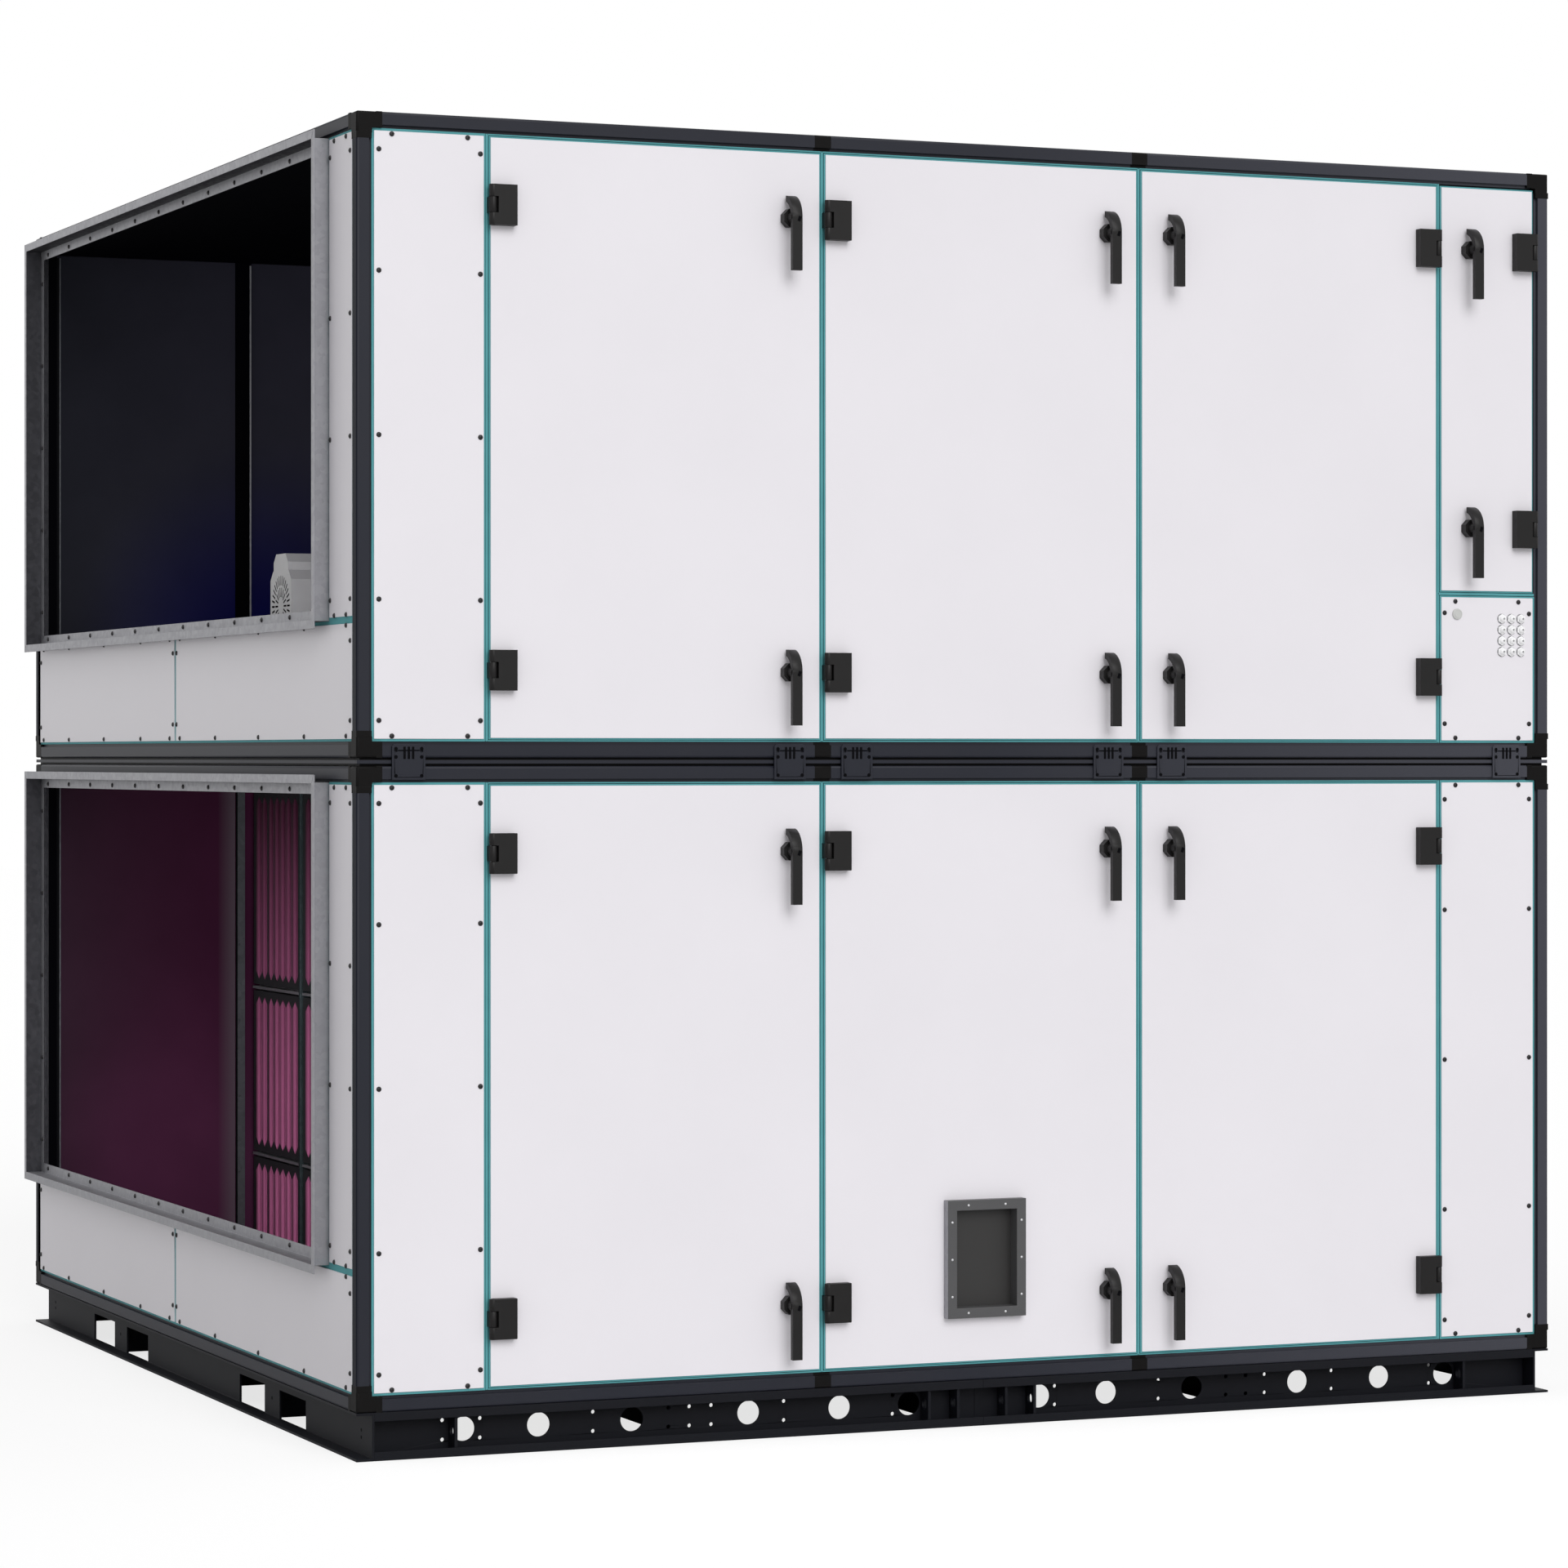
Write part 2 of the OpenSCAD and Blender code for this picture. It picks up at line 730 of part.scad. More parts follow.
module half_long_beam() {
    x0 = -casing_l / 2 + end_setback + beam_t;
    difference() {
        translate([x0, -casing_d / 2, 0]) rotate([90, 0, 90]) {
            lipped_channel(long_setback + beam_t, -x0 - base_joint_gap / 2);
        }
        for (x = lift_hole_x) {
            web_hole(-x, 0, lift_r);
        }
        for (x = bolt_pair_x) {
            web_hole(-x, bolt_spread, bolt_r);
            web_hole(-x, -bolt_spread, bolt_r);
        }
    }
}

module web_hole(x, up, r) {
    translate([x, -casing_d / 2 + long_setback - cut, base_h / 2 + up]) rotate([-90, 0, 0]) {
        cylinder(r = r, h = beam_t + 2 * cut);
    }
}

module base_long_beams() {
    color(base_grey) both([1, 0, 0]) both([0, 1, 0]) half_long_beam();
}

// Ribs stand across the long beams between their flanges, behind the lips
module base_ribs() {
    w = long_setback - beam_t;
    h = base_h - 2 * beam_t;
    color(base_grey) both([1, 0, 0]) both([0, 1, 0]) {
        for (x = base_rib_x) {
            translate([-x - base_rib_t / 2, -casing_d / 2 + beam_t, beam_t]) rotate([90, 0, 90]) {
                linear_extrude(base_rib_t) difference() {
                    square([w, h]);
                    translate([w / 2, h / 2]) circle(base_rib_hole_r);
                }
            }
        }
    }
}

// Fork windows in a beam that runs across the unit, from x0 to x1
module fork_windows(x0, x1) {
    for (side = [-1, 1]) {
        for (y = fork_y) {
            translate([x0 - cut, side * y - fork_w / 2, beam_t]) {
                cube([x1 - x0 + 2 * cut, fork_w, fork_top - beam_t]);
            }
        }
    }
}

module base_end_beams() {
    x = -casing_l / 2 + end_setback;
    color(base_grey) both([1, 0, 0]) difference() {
        translate([-casing_l / 2, casing_d / 2, 0]) rotate([90, 0, 0]) {
            channel(end_setback + beam_t, casing_d);
        }
        fork_windows(x, x + beam_t);
    }
}

module base_cross_beams() {
    l = casing_d - 2 * (long_setback + beam_t);
    color(base_grey) both([1, 0, 0]) {
        translate([base_joint_gap / 2, l / 2, 0]) rotate([90, 0, 0]) {
            channel(cross_web_x + beam_t, l);
        }
        difference() {
            translate([outer_cross_x, l / 2, 0]) rotate([90, 0, 0]) channel(outer_cross_w, l);
            fork_windows(outer_cross_x + outer_cross_w - beam_t, outer_cross_x + outer_cross_w);
        }
    }
}

// Gussets stand upright behind the end beams, between the fork pockets
module base_gussets() {
    x = -casing_l / 2 + end_setback + beam_t;
    color(base_grey) both([1, 0, 0]) both([0, 1, 0]) {
        for (y = gusset_y) {
            translate([x, y - beam_t / 2, 0]) cube([gusset_l, beam_t, base_h]);
        }
    }
}

// Doors: an outer tray, a core and the spindle holes of two handles
function latch_x(field, hand) = hand == HINGE_LEFT ? field[1] - handle_in : field[0] + handle_in;
function hinge_x(field, hand) = hand == HINGE_LEFT ? field[0] + hinge_r : field[1] - hinge_r;
function fitting_heights(field) = [field[2] + fitting_z, field[3] - fitting_z];

module door_panel(field, hand) {
    difference() {
        union() {
            slab(
                field[0] + joint_reveal, field[1] - joint_reveal,
                field[2] + joint_reveal, field[3] - joint_reveal, panel_setback, tray_back
            );
            slab(
                field[0] + door_core_in, field[1] - door_core_in,
                field[2] + door_core_in, field[3] - door_core_in, tray_back - cut, wall_t
            );
        }
        for (z = fitting_heights(field)) {
            translate([latch_x(field, hand), z, 0]) cylinder(r = spindle_r + pin_gap, h = tray_back);
        }
    }
}

module door_seal(field) {
    difference() {
        slab(
            field[0] + seal_gap, field[1] - seal_gap,
            field[2] + seal_gap, field[3] - seal_gap, seal_setback, tray_back
        );
        slab(
            field[0] + joint_reveal, field[1] - joint_reveal,
            field[2] + joint_reveal, field[3] - joint_reveal, 0, wall_t
        );
    }
}

// Hinge parts stand on the pin's axis, with x towards the door, y into the casing and z up
module at_hinges(field, hand) {
    for (z = fitting_heights(field)) {
        translate([hinge_x(field, hand), -casing_d / 2 - hinge_out, z]) scale([hand, 1, 1]) children();
    }
}

module hinge_cover() {
    back = hinge_out + panel_setback;
    slot = knuckle_h / 2 + knuckle_gap;
    difference() {
        union() {
            translate([0, 0, -hinge_h / 2]) cylinder(r = hinge_r, h = hinge_h);
            slab(0, hinge_w - hinge_r, -hinge_r, back, -hinge_h / 2, hinge_h / 2);
        }
        slab(-2 * hinge_r, hinge_r + knuckle_gap, -2 * hinge_r, 2 * back, -slot, slot);
        translate([0, 0, -hinge_h]) cylinder(r = pin_r + pin_gap, h = 2 * hinge_h);
        slab(-2 * hinge_r, joint_reveal - hinge_r, hinge_out, 2 * back, -hinge_h, hinge_h);
    }
}

module hinge_knuckle() {
    leaf_x = -hinge_r;
    translate([0, 0, -knuckle_h / 2]) cylinder(r = hinge_r - cut, h = knuckle_h);
    translate([0, 0, -hinge_h / 2 + cut]) cylinder(r = pin_r, h = hinge_h - 2 * cut);
    slab(leaf_x, leaf_x + leaf_t, -cut, hinge_out + seat_d, -knuckle_h / 2, knuckle_h / 2);
    slab(leaf_x, 0, -cut, leaf_t - cut, -knuckle_h / 2, knuckle_h / 2);
}

// A handle stands on its axis, with y towards the door: rosette, neck, spindle and a lever with a curved head
module handle_at(x, z) {
    translate([x, -casing_d / 2, z]) handle();
}

module handle() {
    head_y = -handle_out + lever_up;
    rotate([-90, 0, 0]) {
        translate([0, 0, panel_setback - boss_gap - boss_h]) linear_extrude(boss_h) even_polygon(8, boss_r);
        translate([0, 0, -handle_out + lever_t / 2]) cylinder(r = neck_r, h = handle_out - lever_t);
        translate([0, 0, -lever_t]) cylinder(r = spindle_r, h = lever_t + tray_back);
    }
    translate([-lever_w / 2, 0, 0]) rotate([90, 0, 90]) linear_extrude(lever_w) {
        translate([-handle_out, -lever_down]) square([lever_t, lever_down]);
        intersection() {
            translate([head_y, 0]) difference() {
                circle(lever_up);
                circle(lever_up - lever_t);
            }
            translate([-handle_out, 0]) square([handle_out - lever_t / 2, lever_up]);
        }
    }
}

module door_handles(field, hand) {
    for (z = fitting_heights(field)) {
        handle_at(latch_x(field, hand), z);
    }
}

module upper_door(i) { color(white) on_front() door_panel(door_field(upper, i), door_hand[i]); }
module upper_door_1() { upper_door(0); }
module upper_door_2() { upper_door(1); }
module upper_door_3() { upper_door(2); }
module control_door() { color(white) on_front() door_panel(control_field(), HINGE_RIGHT); }

module upper_door_hinges() {
    color(plastic_black) {
        for (i = [0:2]) {
            at_hinges(door_field(upper, i), door_hand[i]) fixed_hinge();
        }
        at_hinges(control_field(), HINGE_RIGHT) fixed_hinge();
    }
}

module fixed_hinge() {
    hinge_cover();
    hinge_knuckle();
}

module upper_door_handles() {
    color(plastic_black) {
        for (i = [0:2]) {
            door_handles(door_field(upper, i), door_hand[i]);
        }
        door_handles(control_field(), HINGE_RIGHT);
    }
}

module lower_hinge_knuckles() {
    color(plastic_black) {
        for (i = [0:2]) {
            at_hinges(door_field(lower, i), door_hand[i]) hinge_knuckle();
        }
    }
}

module lower_door(i) { color(white) on_front() door_panel(door_field(lower, i), door_hand[i]); }
module lower_door_seal(i) { color(teal) on_front() door_seal(door_field(lower, i)); }
module lower_door_hinges(i) {
    color(plastic_black) at_hinges(door_field(lower, i), door_hand[i]) hinge_cover();
}

module lower_door_handle(i, top) {
    field = door_field(lower, i);
    color(plastic_black) handle_at(latch_x(field, door_hand[i]), fitting_heights(field)[top]);
}

// Port of the middle door: a dark tray with a flange around it, blanked off at the back
function port_field(rim) =
    let (field = door_field(lower, 1), x = (field[0] + field[1]) / 2, z = field[2] + port_z)
    [x - port_w / 2 - rim, x + port_w / 2 + rim, z - port_h / 2 - rim, z + port_h / 2 + rim];

module port_box(rim, d0, d1) {
    p = port_field(rim);
    on_front() slab(p[0], p[1], p[2], p[3], d0, d1);
}

module lower_door_1() { lower_door(0); }
module lower_door_2() {
    color(white) difference() {
        lower_door(1);
        port_box(port_t + port_gap, 0, wall_t + cut);
    }
}
module lower_door_3() { lower_door(2); }
module lower_door_1_seal() { lower_door_seal(0); }
module lower_door_2_seal() { lower_door_seal(1); }
module lower_door_3_seal() { lower_door_seal(2); }
module lower_door_1_hinges() { lower_door_hinges(0); }
module lower_door_2_hinges() { lower_door_hinges(1); }
module lower_door_3_hinges() { lower_door_hinges(2); }
module lower_door_1_bottom_handle() { lower_door_handle(0, 0); }
module lower_door_1_top_handle() { lower_door_handle(0, 1); }
module lower_door_2_bottom_handle() { lower_door_handle(1, 0); }
module lower_door_2_top_handle() { lower_door_handle(1, 1); }
module lower_door_3_bottom_handle() { lower_door_handle(2, 0); }
module lower_door_3_top_handle() { lower_door_handle(2, 1); }

module door_port_flange() {
    color(port_grey) difference() {
        union() {
            port_box(port_rim, panel_setback - port_out, panel_setback);
            port_box(port_t, panel_setback - cut, wall_t);
        }
        port_box(0, -port_out, wall_t - port_t);
    }
}

// Cable entry panel with its glands and a blanking plug
function cable_top() = field_z0(upper) + cable_panel_h;
function gland_x(i) = -left_x() - gland_side - i * gland_pitch;
function gland_z(j) = cable_top() - gland_top - j * gland_pitch;

module cable_entry_panel() { color(white) on_front() cable_panel_layout(false); }

module cable_glands() {
    color(white) on_front() {
        for (i = [0:glands_across - 1]) {
            for (j = [0:glands_up - 1]) {
                translate([gland_x(i), gland_z(j), panel_setback - gland_out]) gland();
            }
        }
        translate([gap_x(3) + plug_side, cable_top() - plug_top, panel_setback - plug_out]) {
            cylinder(r = plug_r, h = plug_out);
        }
    }
}

module gland() {
    rotate_extrude() {
        intersection() {
            translate([0, dome_r]) circle(dome_r);
            square(dome_r);
        }
        translate([0, dome_r]) square([dome_r, gland_out - dome_r]);
    }
    translate([0, 0, gland_out - gland_nut_t]) linear_extrude(gland_nut_t) even_polygon(6, gland_r);
}

// Filter wall: a plate across the lower tier with one opening behind each bag filter
function filter_y(column) =
    -casing_d / 2 + wall_t + filter_side + filter_w / 2 + column * (filter_w + filter_space);
function filter_z(row) =
    tier_z(lower) + wall_t + filter_edge + sum_to(filter_rows, row) + row * filter_space;

module each_filter() {
    for (row = [0:len(filter_rows) - 1]) {
        for (column = [0:filter_columns - 1]) {
            $filter_h = filter_rows[row];
            translate([-casing_l / 2 + filter_x, filter_y(column), filter_z(row)]) children();
        }
    }
}

module filter_wall() {
    x0 = -casing_l / 2 + filter_x;
    rear = casing_d / 2 - wall_t;
    z0 = tier_z(lower) + wall_t;
    rim = header_rim / 2;
    color(zinc) difference() {
        slab(x0, x0 + filter_wall_t, -rear + filter_door_gap, rear, z0, z0 + tier_h - 2 * wall_t);
        each_filter() {
            slab(-cut, filter_wall_t + cut, -filter_w / 2 + rim, filter_w / 2 - rim, rim, $filter_h - rim);
        }
    }
}

// Bag filter: a header with a row of tapered pockets of media behind it
module bag_filters() {
    color(media_pink) each_filter() bag_filter($filter_h);
}

module bag_filter(h) {
    pitch = (filter_w - 2 * header_rim) / pockets;
    mouth = pitch - pocket_gap;
    difference() {
        union() {
            slab(-header_t, 0, -filter_w / 2, filter_w / 2, 0, h);
            each_pocket(pitch) pocket_wedge(mouth, pocket_tip, -cut, pocket_l, header_rim, h - header_rim);
        }
        each_pocket(pitch) {
            pocket_wedge(
                mouth - 2 * media_t, pocket_tip - 2 * media_t, -header_t - cut, pocket_l - media_t,
                header_rim + media_t, h - header_rim - media_t
            );
        }
    }
}

module each_pocket(pitch) {
    for (i = [0:pockets - 1]) {
        translate([0, (i - (pockets - 1) / 2) * pitch, 0]) children();
    }
}

module pocket_wedge(mouth, tip, x0, x1, z0, z1) {
    translate([0, 0, z0]) linear_extrude(z1 - z0) {
        polygon([[x0, -mouth / 2], [x1, -tip / 2], [x1, tip / 2], [x0, mouth / 2]]);
    }
}

// Fan motor with a ribbed housing, a slotted cowl and a terminal box: x across the unit, y up, z along it
module at_motor() {
    translate([-casing_l / 2 + motor_x, 0, tier_z(upper) + wall_t + motor_z]) rotate([90, 0, 90]) children();
}

module motor_outline() {
    intersection() {
        square(2 * motor_r, center = true);
        rotate(45) square(sqrt(2) * (2 * motor_r - motor_bevel), center = true);
    }
}

module ribbed_outline() {
    pitch = 2 * (motor_r - motor_bevel) / ribs;
    difference() {
        motor_outline();
        both([1, 0, 0]) {
            for (i = [0:ribs - 1]) {
                translate([motor_r - rib_h, (i - (ribs - 1) / 2) * pitch - (pitch - rib_t) / 2]) {
                    square([rib_h + cut, pitch - rib_t]);
                }
            }
        }
    }
}

module slot_ring(n, r) {
    for (i = [0:n - 1]) {
        rotate(360 / n * i) slab(r, r + slot_l, -slot_w / 2, slot_w / 2, -cut, slot_d);
    }
}

module terminal_box() {
    bevel = terminal_h / 2;
    translate([0, motor_r, 0]) polygon([
        [-terminal_w / 2, -cut], [terminal_w / 2, -cut], [terminal_w / 2, terminal_h - bevel],
        [terminal_w / 2 - bevel, terminal_h], [-terminal_w / 2 + bevel, terminal_h],
        [-terminal_w / 2, terminal_h - bevel]
    ]);
}

module fan_motor() {
    color(motor_grey) at_motor() {
        difference() {
            linear_extrude(cowl_l) motor_outline();
            slot_ring(outer_slots, outer_slot_r);
            slot_ring(inner_slots, inner_slot_r);
        }
        translate([0, 0, cowl_l - cut]) linear_extrude(motor_l + cut) ribbed_outline();
        translate([0, 0, cowl_l + motor_l - cut]) linear_extrude(end_plate_t + cut) motor_outline();
        translate([0, 0, cowl_l + motor_l]) cylinder(r = shaft_r, h = end_plate_t + shaft_l);
        linear_extrude(cowl_l + motor_l) terminal_box();
    }
}

// Motor stand: two feet along the floor and two uprights under the housing
module motor_stand() {
    x0 = -casing_l / 2 + motor_x + cowl_l;
    x1 = x0 + motor_l - stand_t;
    z0 = tier_z(upper) + wall_t;
    seat = motor_z - motor_r - stand_gap;
    color(motor_grey) {
        both([0, 1, 0]) {
            slab(x0 - foot_w, x1 + foot_w, stand_w / 2 - foot_w, stand_w / 2, z0, z0 + 2 * stand_t);
        }
        for (x = [x0, x1]) {
            translate([x, 0, z0]) rotate([90, 0, 90]) linear_extrude(stand_t) {
                polygon([
                    [-stand_w / 2, 0], [stand_w / 2, 0], [stand_w / 2, 2 * stand_t],
                    [motor_r - motor_bevel, seat], [-motor_r + motor_bevel, seat], [-stand_w / 2, 2 * stand_t]
                ]);
            }
        }
    }
}

base_long_beams();
base_end_beams();
base_cross_beams();
base_ribs();
base_gussets();
lower_rails();
upper_rails();
frame_posts();
corner_caps();
rail_joint_caps();
mullions();
tier_spacer();
tier_brackets();
lower_floor();
lower_ceiling();
upper_floor();
roof();
rear_panels();
front_strip_panels();
left_end_panels();
right_end_panels();
left_duct_flanges();
right_duct_flanges();
panel_seals();
cable_entry_panel();
cable_glands();
upper_door_1();
upper_door_2();
upper_door_3();
control_door();
upper_door_hinges();
upper_door_handles();
filter_wall();
bag_filters();
fan_motor();
motor_stand();
lower_hinge_knuckles();
lower_door_1();
lower_door_1_seal();
lower_door_1_hinges();
lower_door_1_top_handle();
lower_door_1_bottom_handle();
lower_door_2();
lower_door_2_seal();
lower_door_2_hinges();
lower_door_2_top_handle();
lower_door_2_bottom_handle();
door_port_flange();
lower_door_3();
lower_door_3_seal();
lower_door_3_hinges();
lower_door_3_top_handle();
lower_door_3_bottom_handle();
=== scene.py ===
# Looks of a two-tier air handling unit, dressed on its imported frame. Metres, +Z up, the doors face -Y.
import math

import bmesh
import bpy
from mathutils import Matrix, Vector


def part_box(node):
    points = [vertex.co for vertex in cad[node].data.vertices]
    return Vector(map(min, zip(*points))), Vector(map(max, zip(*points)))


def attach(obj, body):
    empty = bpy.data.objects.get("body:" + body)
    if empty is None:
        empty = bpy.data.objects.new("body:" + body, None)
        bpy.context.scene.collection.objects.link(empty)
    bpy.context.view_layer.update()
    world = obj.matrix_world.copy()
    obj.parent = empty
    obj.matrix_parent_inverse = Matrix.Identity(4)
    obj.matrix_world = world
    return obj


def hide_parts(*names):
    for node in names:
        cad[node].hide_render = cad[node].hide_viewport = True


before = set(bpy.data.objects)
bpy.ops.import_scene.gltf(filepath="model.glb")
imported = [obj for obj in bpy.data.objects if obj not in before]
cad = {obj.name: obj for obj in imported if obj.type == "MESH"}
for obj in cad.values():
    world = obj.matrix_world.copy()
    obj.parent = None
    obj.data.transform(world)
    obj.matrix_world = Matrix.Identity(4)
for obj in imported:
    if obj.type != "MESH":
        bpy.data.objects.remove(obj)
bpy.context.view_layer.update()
MM = 0.001

# Casing lines, read from the frame
posts_low, posts_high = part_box("frame_posts")
LEFT, RIGHT = posts_low.x, posts_high.x
FRONT, REAR = posts_low.y, posts_high.y
PROFILE = 40 * MM
PANEL_SETBACK = 3 * MM
JOINT_REVEAL = 9 * MM
TIERS = []
for rails in ("lower_rails", "upper_rails"):
    rails_low, rails_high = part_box(rails)
    TIERS.append((rails_low.z, rails_high.z))
GAPS = [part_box(f"lower_door_{i}")[0].x - JOINT_REVEAL for i in (1, 2, 3)]
GAPS.append(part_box("lower_door_3")[1].x + JOINT_REVEAL)
FIELDS = [(low + PROFILE, high - PROFILE) for low, high in TIERS]
SILL = 297 * MM
END_STRIP = 198 * MM
SILL_SEAM = 44 * MM
REAR_LINES = [LEFT + PROFILE, (GAPS[1] + LEFT + PROFILE) / 2, GAPS[1]]
REAR_LINES += [-x for x in reversed(REAR_LINES)]
CABLE_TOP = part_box("control_door")[0].z - JOINT_REVEAL

# Colours
PANEL_PALE = "#E8E5EA"
PANEL_SHADE = "#E2DFE4"
PROFILE_BLUE = "#1A1D28"
PROFILE_GREY = "#202129"
# Paler tone towards the right end of the profiles: painted reflection
PROFILE_REFLECTION_PALE = "#41424A"
CAP_BLACK = "#131212"
FITTING_BLACK = "#181717"
SEAL_TEAL = "#58A0A5"
SEAL_DEEP = "#4C9095"
ZINC_PALE = "#A4A4A8"
ZINC_DULL = "#8E8E93"
# Darker zinc on the duct collars' faces that look down or forwards: painted shade and painted dark reflection
COLLAR_SHADE_PALE = "#3C3C40"
COLLAR_SHADE_DULL = "#2E2E32"
POST_PALE = "#3E484B"
POST_DULL = "#2E3639"
# Darker zinc for the rear wall's cover strips and their screws: painted shade
COVER_SHADE_PALE = "#56585C"
COVER_SHADE_DULL = "#46484C"
BASE_BLACK = "#0F1016"
BASE_DUST = "#111319"
FLEECE_PINK = "#F087BE"
# Plum that the fleece turns towards the top: painted shade
FLEECE_SHADE_PLUM = "#240012"
HEADER_GREY = "#2B2C2E"
MOTOR_GREY = "#908F92"
# Paler enamel on the cowl's end, which faces the duct opening: painted light
COWL_LIT_GREY = "#C6C5C7"
# Near-black inside the cowl's slots: painted shade
SLOT_SHADE_GREY = "#1A181A"
PORT_GREY = "#4E4E4F"
PORT_SHADE = "#454547"
PLATE_GREY = "#222120"
PLATE_SHADE = "#1E1D1D"
NYLON_WHITE = "#F4F4F5"
# Grey of the gland rings, darkened as a painted shaded outline, and of the painted shade in the cable holes
GASKET_AND_SHADE_GREY = "#8C8C8E"
PLUG_GREY = "#C4C5C3"
SCREW_BLACK = "#201E20"
SCREW_BRIGHT = "#D5D5D7"
# Black for holes, slots and shadow lines: painted shade
HOLE_SHADE_BLACK = "#050508"
FLOOR_GREY = "#969696"
# Inner sheets of the air ways: at the duct end, further in, and in the painted glow near the machinery. The
# change from the duct end inwards is painted light that makes up for the light falling off inside.
LOWER_TONES = ("#2F202B", "#481838", "#502843")
DOOR_TONES = ("#343238", "#302E34", "#38353C")
UPPER_TONES = ("#1D1E24", "#3B3A47", "#0C0C58")
# Near-black inner sheets for the upper ceiling, the upper mullions and the rear posts' forward faces: painted shade
ROOF_SHADE_TONES = ("#020205", "#040407", "#020208")
# Tone of the paler band beside the first seam cover
PALE_BAND_GREY = "#6A666C"
# How far the painted light reaches in from the duct end, and how the wall turns paler beside the first seam cover
FALLOFF_REACH = 900 * MM
COVER_EDGE = 25 * MM
PALE_BAND_W = 55 * MM
REAR_ZONE = 100 * MM


def linear(colour):
    """An sRGB hex colour as linear RGBA."""
    channels = [int(colour[i:i + 2], 16) / 255 for i in (1, 3, 5)]
    return [c / 12.92 if c <= 0.04045 else ((c + 0.055) / 1.055) ** 2.4 for c in channels] + [1.0]


def wire(tree, node, inputs):
    """Set each input of a node to a value, or link it to a socket. Sockets that share a name go by number:
    a Mix has its factor at 0, numbers at 2 and 3 and colours at 6 and 7, and a Map Range has its value at 0,
    the range that it comes from at 1 and 2 and the range that it goes to at 3 and 4."""
    for key, value in inputs.items():
        if isinstance(value, bpy.types.NodeSocket):
            tree.links.new(value, node.inputs[key])
        else:
            node.inputs[key].default_value = value


def put(tree, kind, inputs, **settings):
    """Add a node with its settings and links."""
    node = tree.nodes.new("ShaderNode" + kind)
    for name, value in settings.items():
        setattr(node, name, value)
    wire(tree, node, inputs)
    return node


def new_material(name):
    """A material with its tree and shader, and the object's own coordinates in metres."""
    material = bpy.data.materials.new(name)
    material.use_nodes = True
    tree = material.node_tree
    place = put(tree, "TexCoord", {}).outputs["Object"]
    return material, tree, tree.nodes["Principled BSDF"], place


def grains(size_mm):
    """Scale of a pattern whose features are that many millimetres wide."""
    return 1 / (size_mm * MM)


def powder_coated_steel(name, pale, shade, roughness):
    """Steel sheet with a baked powder coat: even and satin, with slow drifts of tone and a faint orange peel.
    Real peel is about 2 mm wide; it is drawn at 5 mm so that it shows."""
    material, tree, shader, place = new_material(name)
    drift = put(tree, "TexNoise", {"Vector": place, "Scale": grains(420), "Detail": 3.0})
    colour = put(tree, "Mix", {0: drift.outputs[0], 6: linear(shade), 7: linear(pale)}, data_type="RGBA")
    peel = put(tree, "TexNoise", {"Vector": place, "Scale": grains(5), "Detail": 2.0})
    bump = put(tree, "Bump", {"Height": peel.outputs[0], "Strength": 0.12, "Distance": 0.15 * MM})
    gloss = put(tree, "MapRange", {0: drift.outputs[0], 3: roughness - 0.05, 4: roughness + 0.05})
    wire(tree, shader, {
        "Base Color": colour.outputs[2], "Roughness": gloss.outputs[0], "Normal": bump.outputs[0],
    })
    return material


def inner_skin(name, near, far, glow_tint, middle, reach, pale_band):
    """Powder coat on the inner sheets of an air way: matt and dark, with painted light that changes its tone from
    the duct end inwards, a painted coloured glow round a middle point and a paler band beside the first seam cover."""
    material, tree, shader, place = new_material(name)
    along = put(tree, "SeparateXYZ", {0: place})
    # Painted light: the tone changes from the duct end inwards, against the light falling off inside
    inwards = put(tree, "MapRange", {0: along.outputs["X"], 1: LEFT, 2: LEFT + FALLOFF_REACH})
    base = put(tree, "Mix", {0: inwards.outputs[0], 6: linear(near), 7: linear(far)}, data_type="RGBA")
    # Painted glow: coloured light from the filters and machinery, painted round a middle point
    gap = put(tree, "VectorMath", {0: place, 1: middle}, operation="DISTANCE")
    painted_glow = put(tree, "MapRange", {
        0: gap.outputs["Value"], 1: 0.0, 2: reach, 3: 1.0, 4: 0.0,
    }, interpolation_type="SMOOTHSTEP")
    colour = put(tree, "Mix", {0: painted_glow.outputs[0], 6: base.outputs[2], 7: linear(glow_tint)}, data_type="RGBA")
    cloud = put(tree, "TexNoise", {"Vector": place, "Scale": grains(220), "Detail": 4.0})
    tone = put(tree, "MapRange", {0: cloud.outputs[0], 3: 0.8, 4: 1.2})
    shaded = put(tree, "VectorMath", {0: colour.outputs[2], "Scale": tone.outputs[0]}, operation="SCALE")
    # A paler band that grows towards the first seam cover, near the rear wall
    cover = REAR_LINES[1] - COVER_EDGE
    beside = put(tree, "MapRange", {0: along.outputs["X"], 1: cover - PALE_BAND_W, 2: cover, 3: 0.0, 4: pale_band})
    before = put(tree, "Math", {0: along.outputs["X"], 1: cover}, operation="LESS_THAN")
    at_rear = put(tree, "Math", {0: along.outputs["Y"], 1: REAR - REAR_ZONE}, operation="GREATER_THAN")
    here = put(tree, "Math", {0: before.outputs[0], 1: at_rear.outputs[0]}, operation="MULTIPLY")
    band = put(tree, "Math", {0: beside.outputs[0], 1: here.outputs[0]}, operation="MULTIPLY")
    banded = put(tree, "Mix", {0: band.outputs[0], 6: shaded.outputs[0], 7: linear(PALE_BAND_GREY)}, data_type="RGBA")
    wire(tree, shader, {"Base Color": banded.outputs[2], "Roughness": 0.7, "Specular IOR Level": 0.02})
    return material


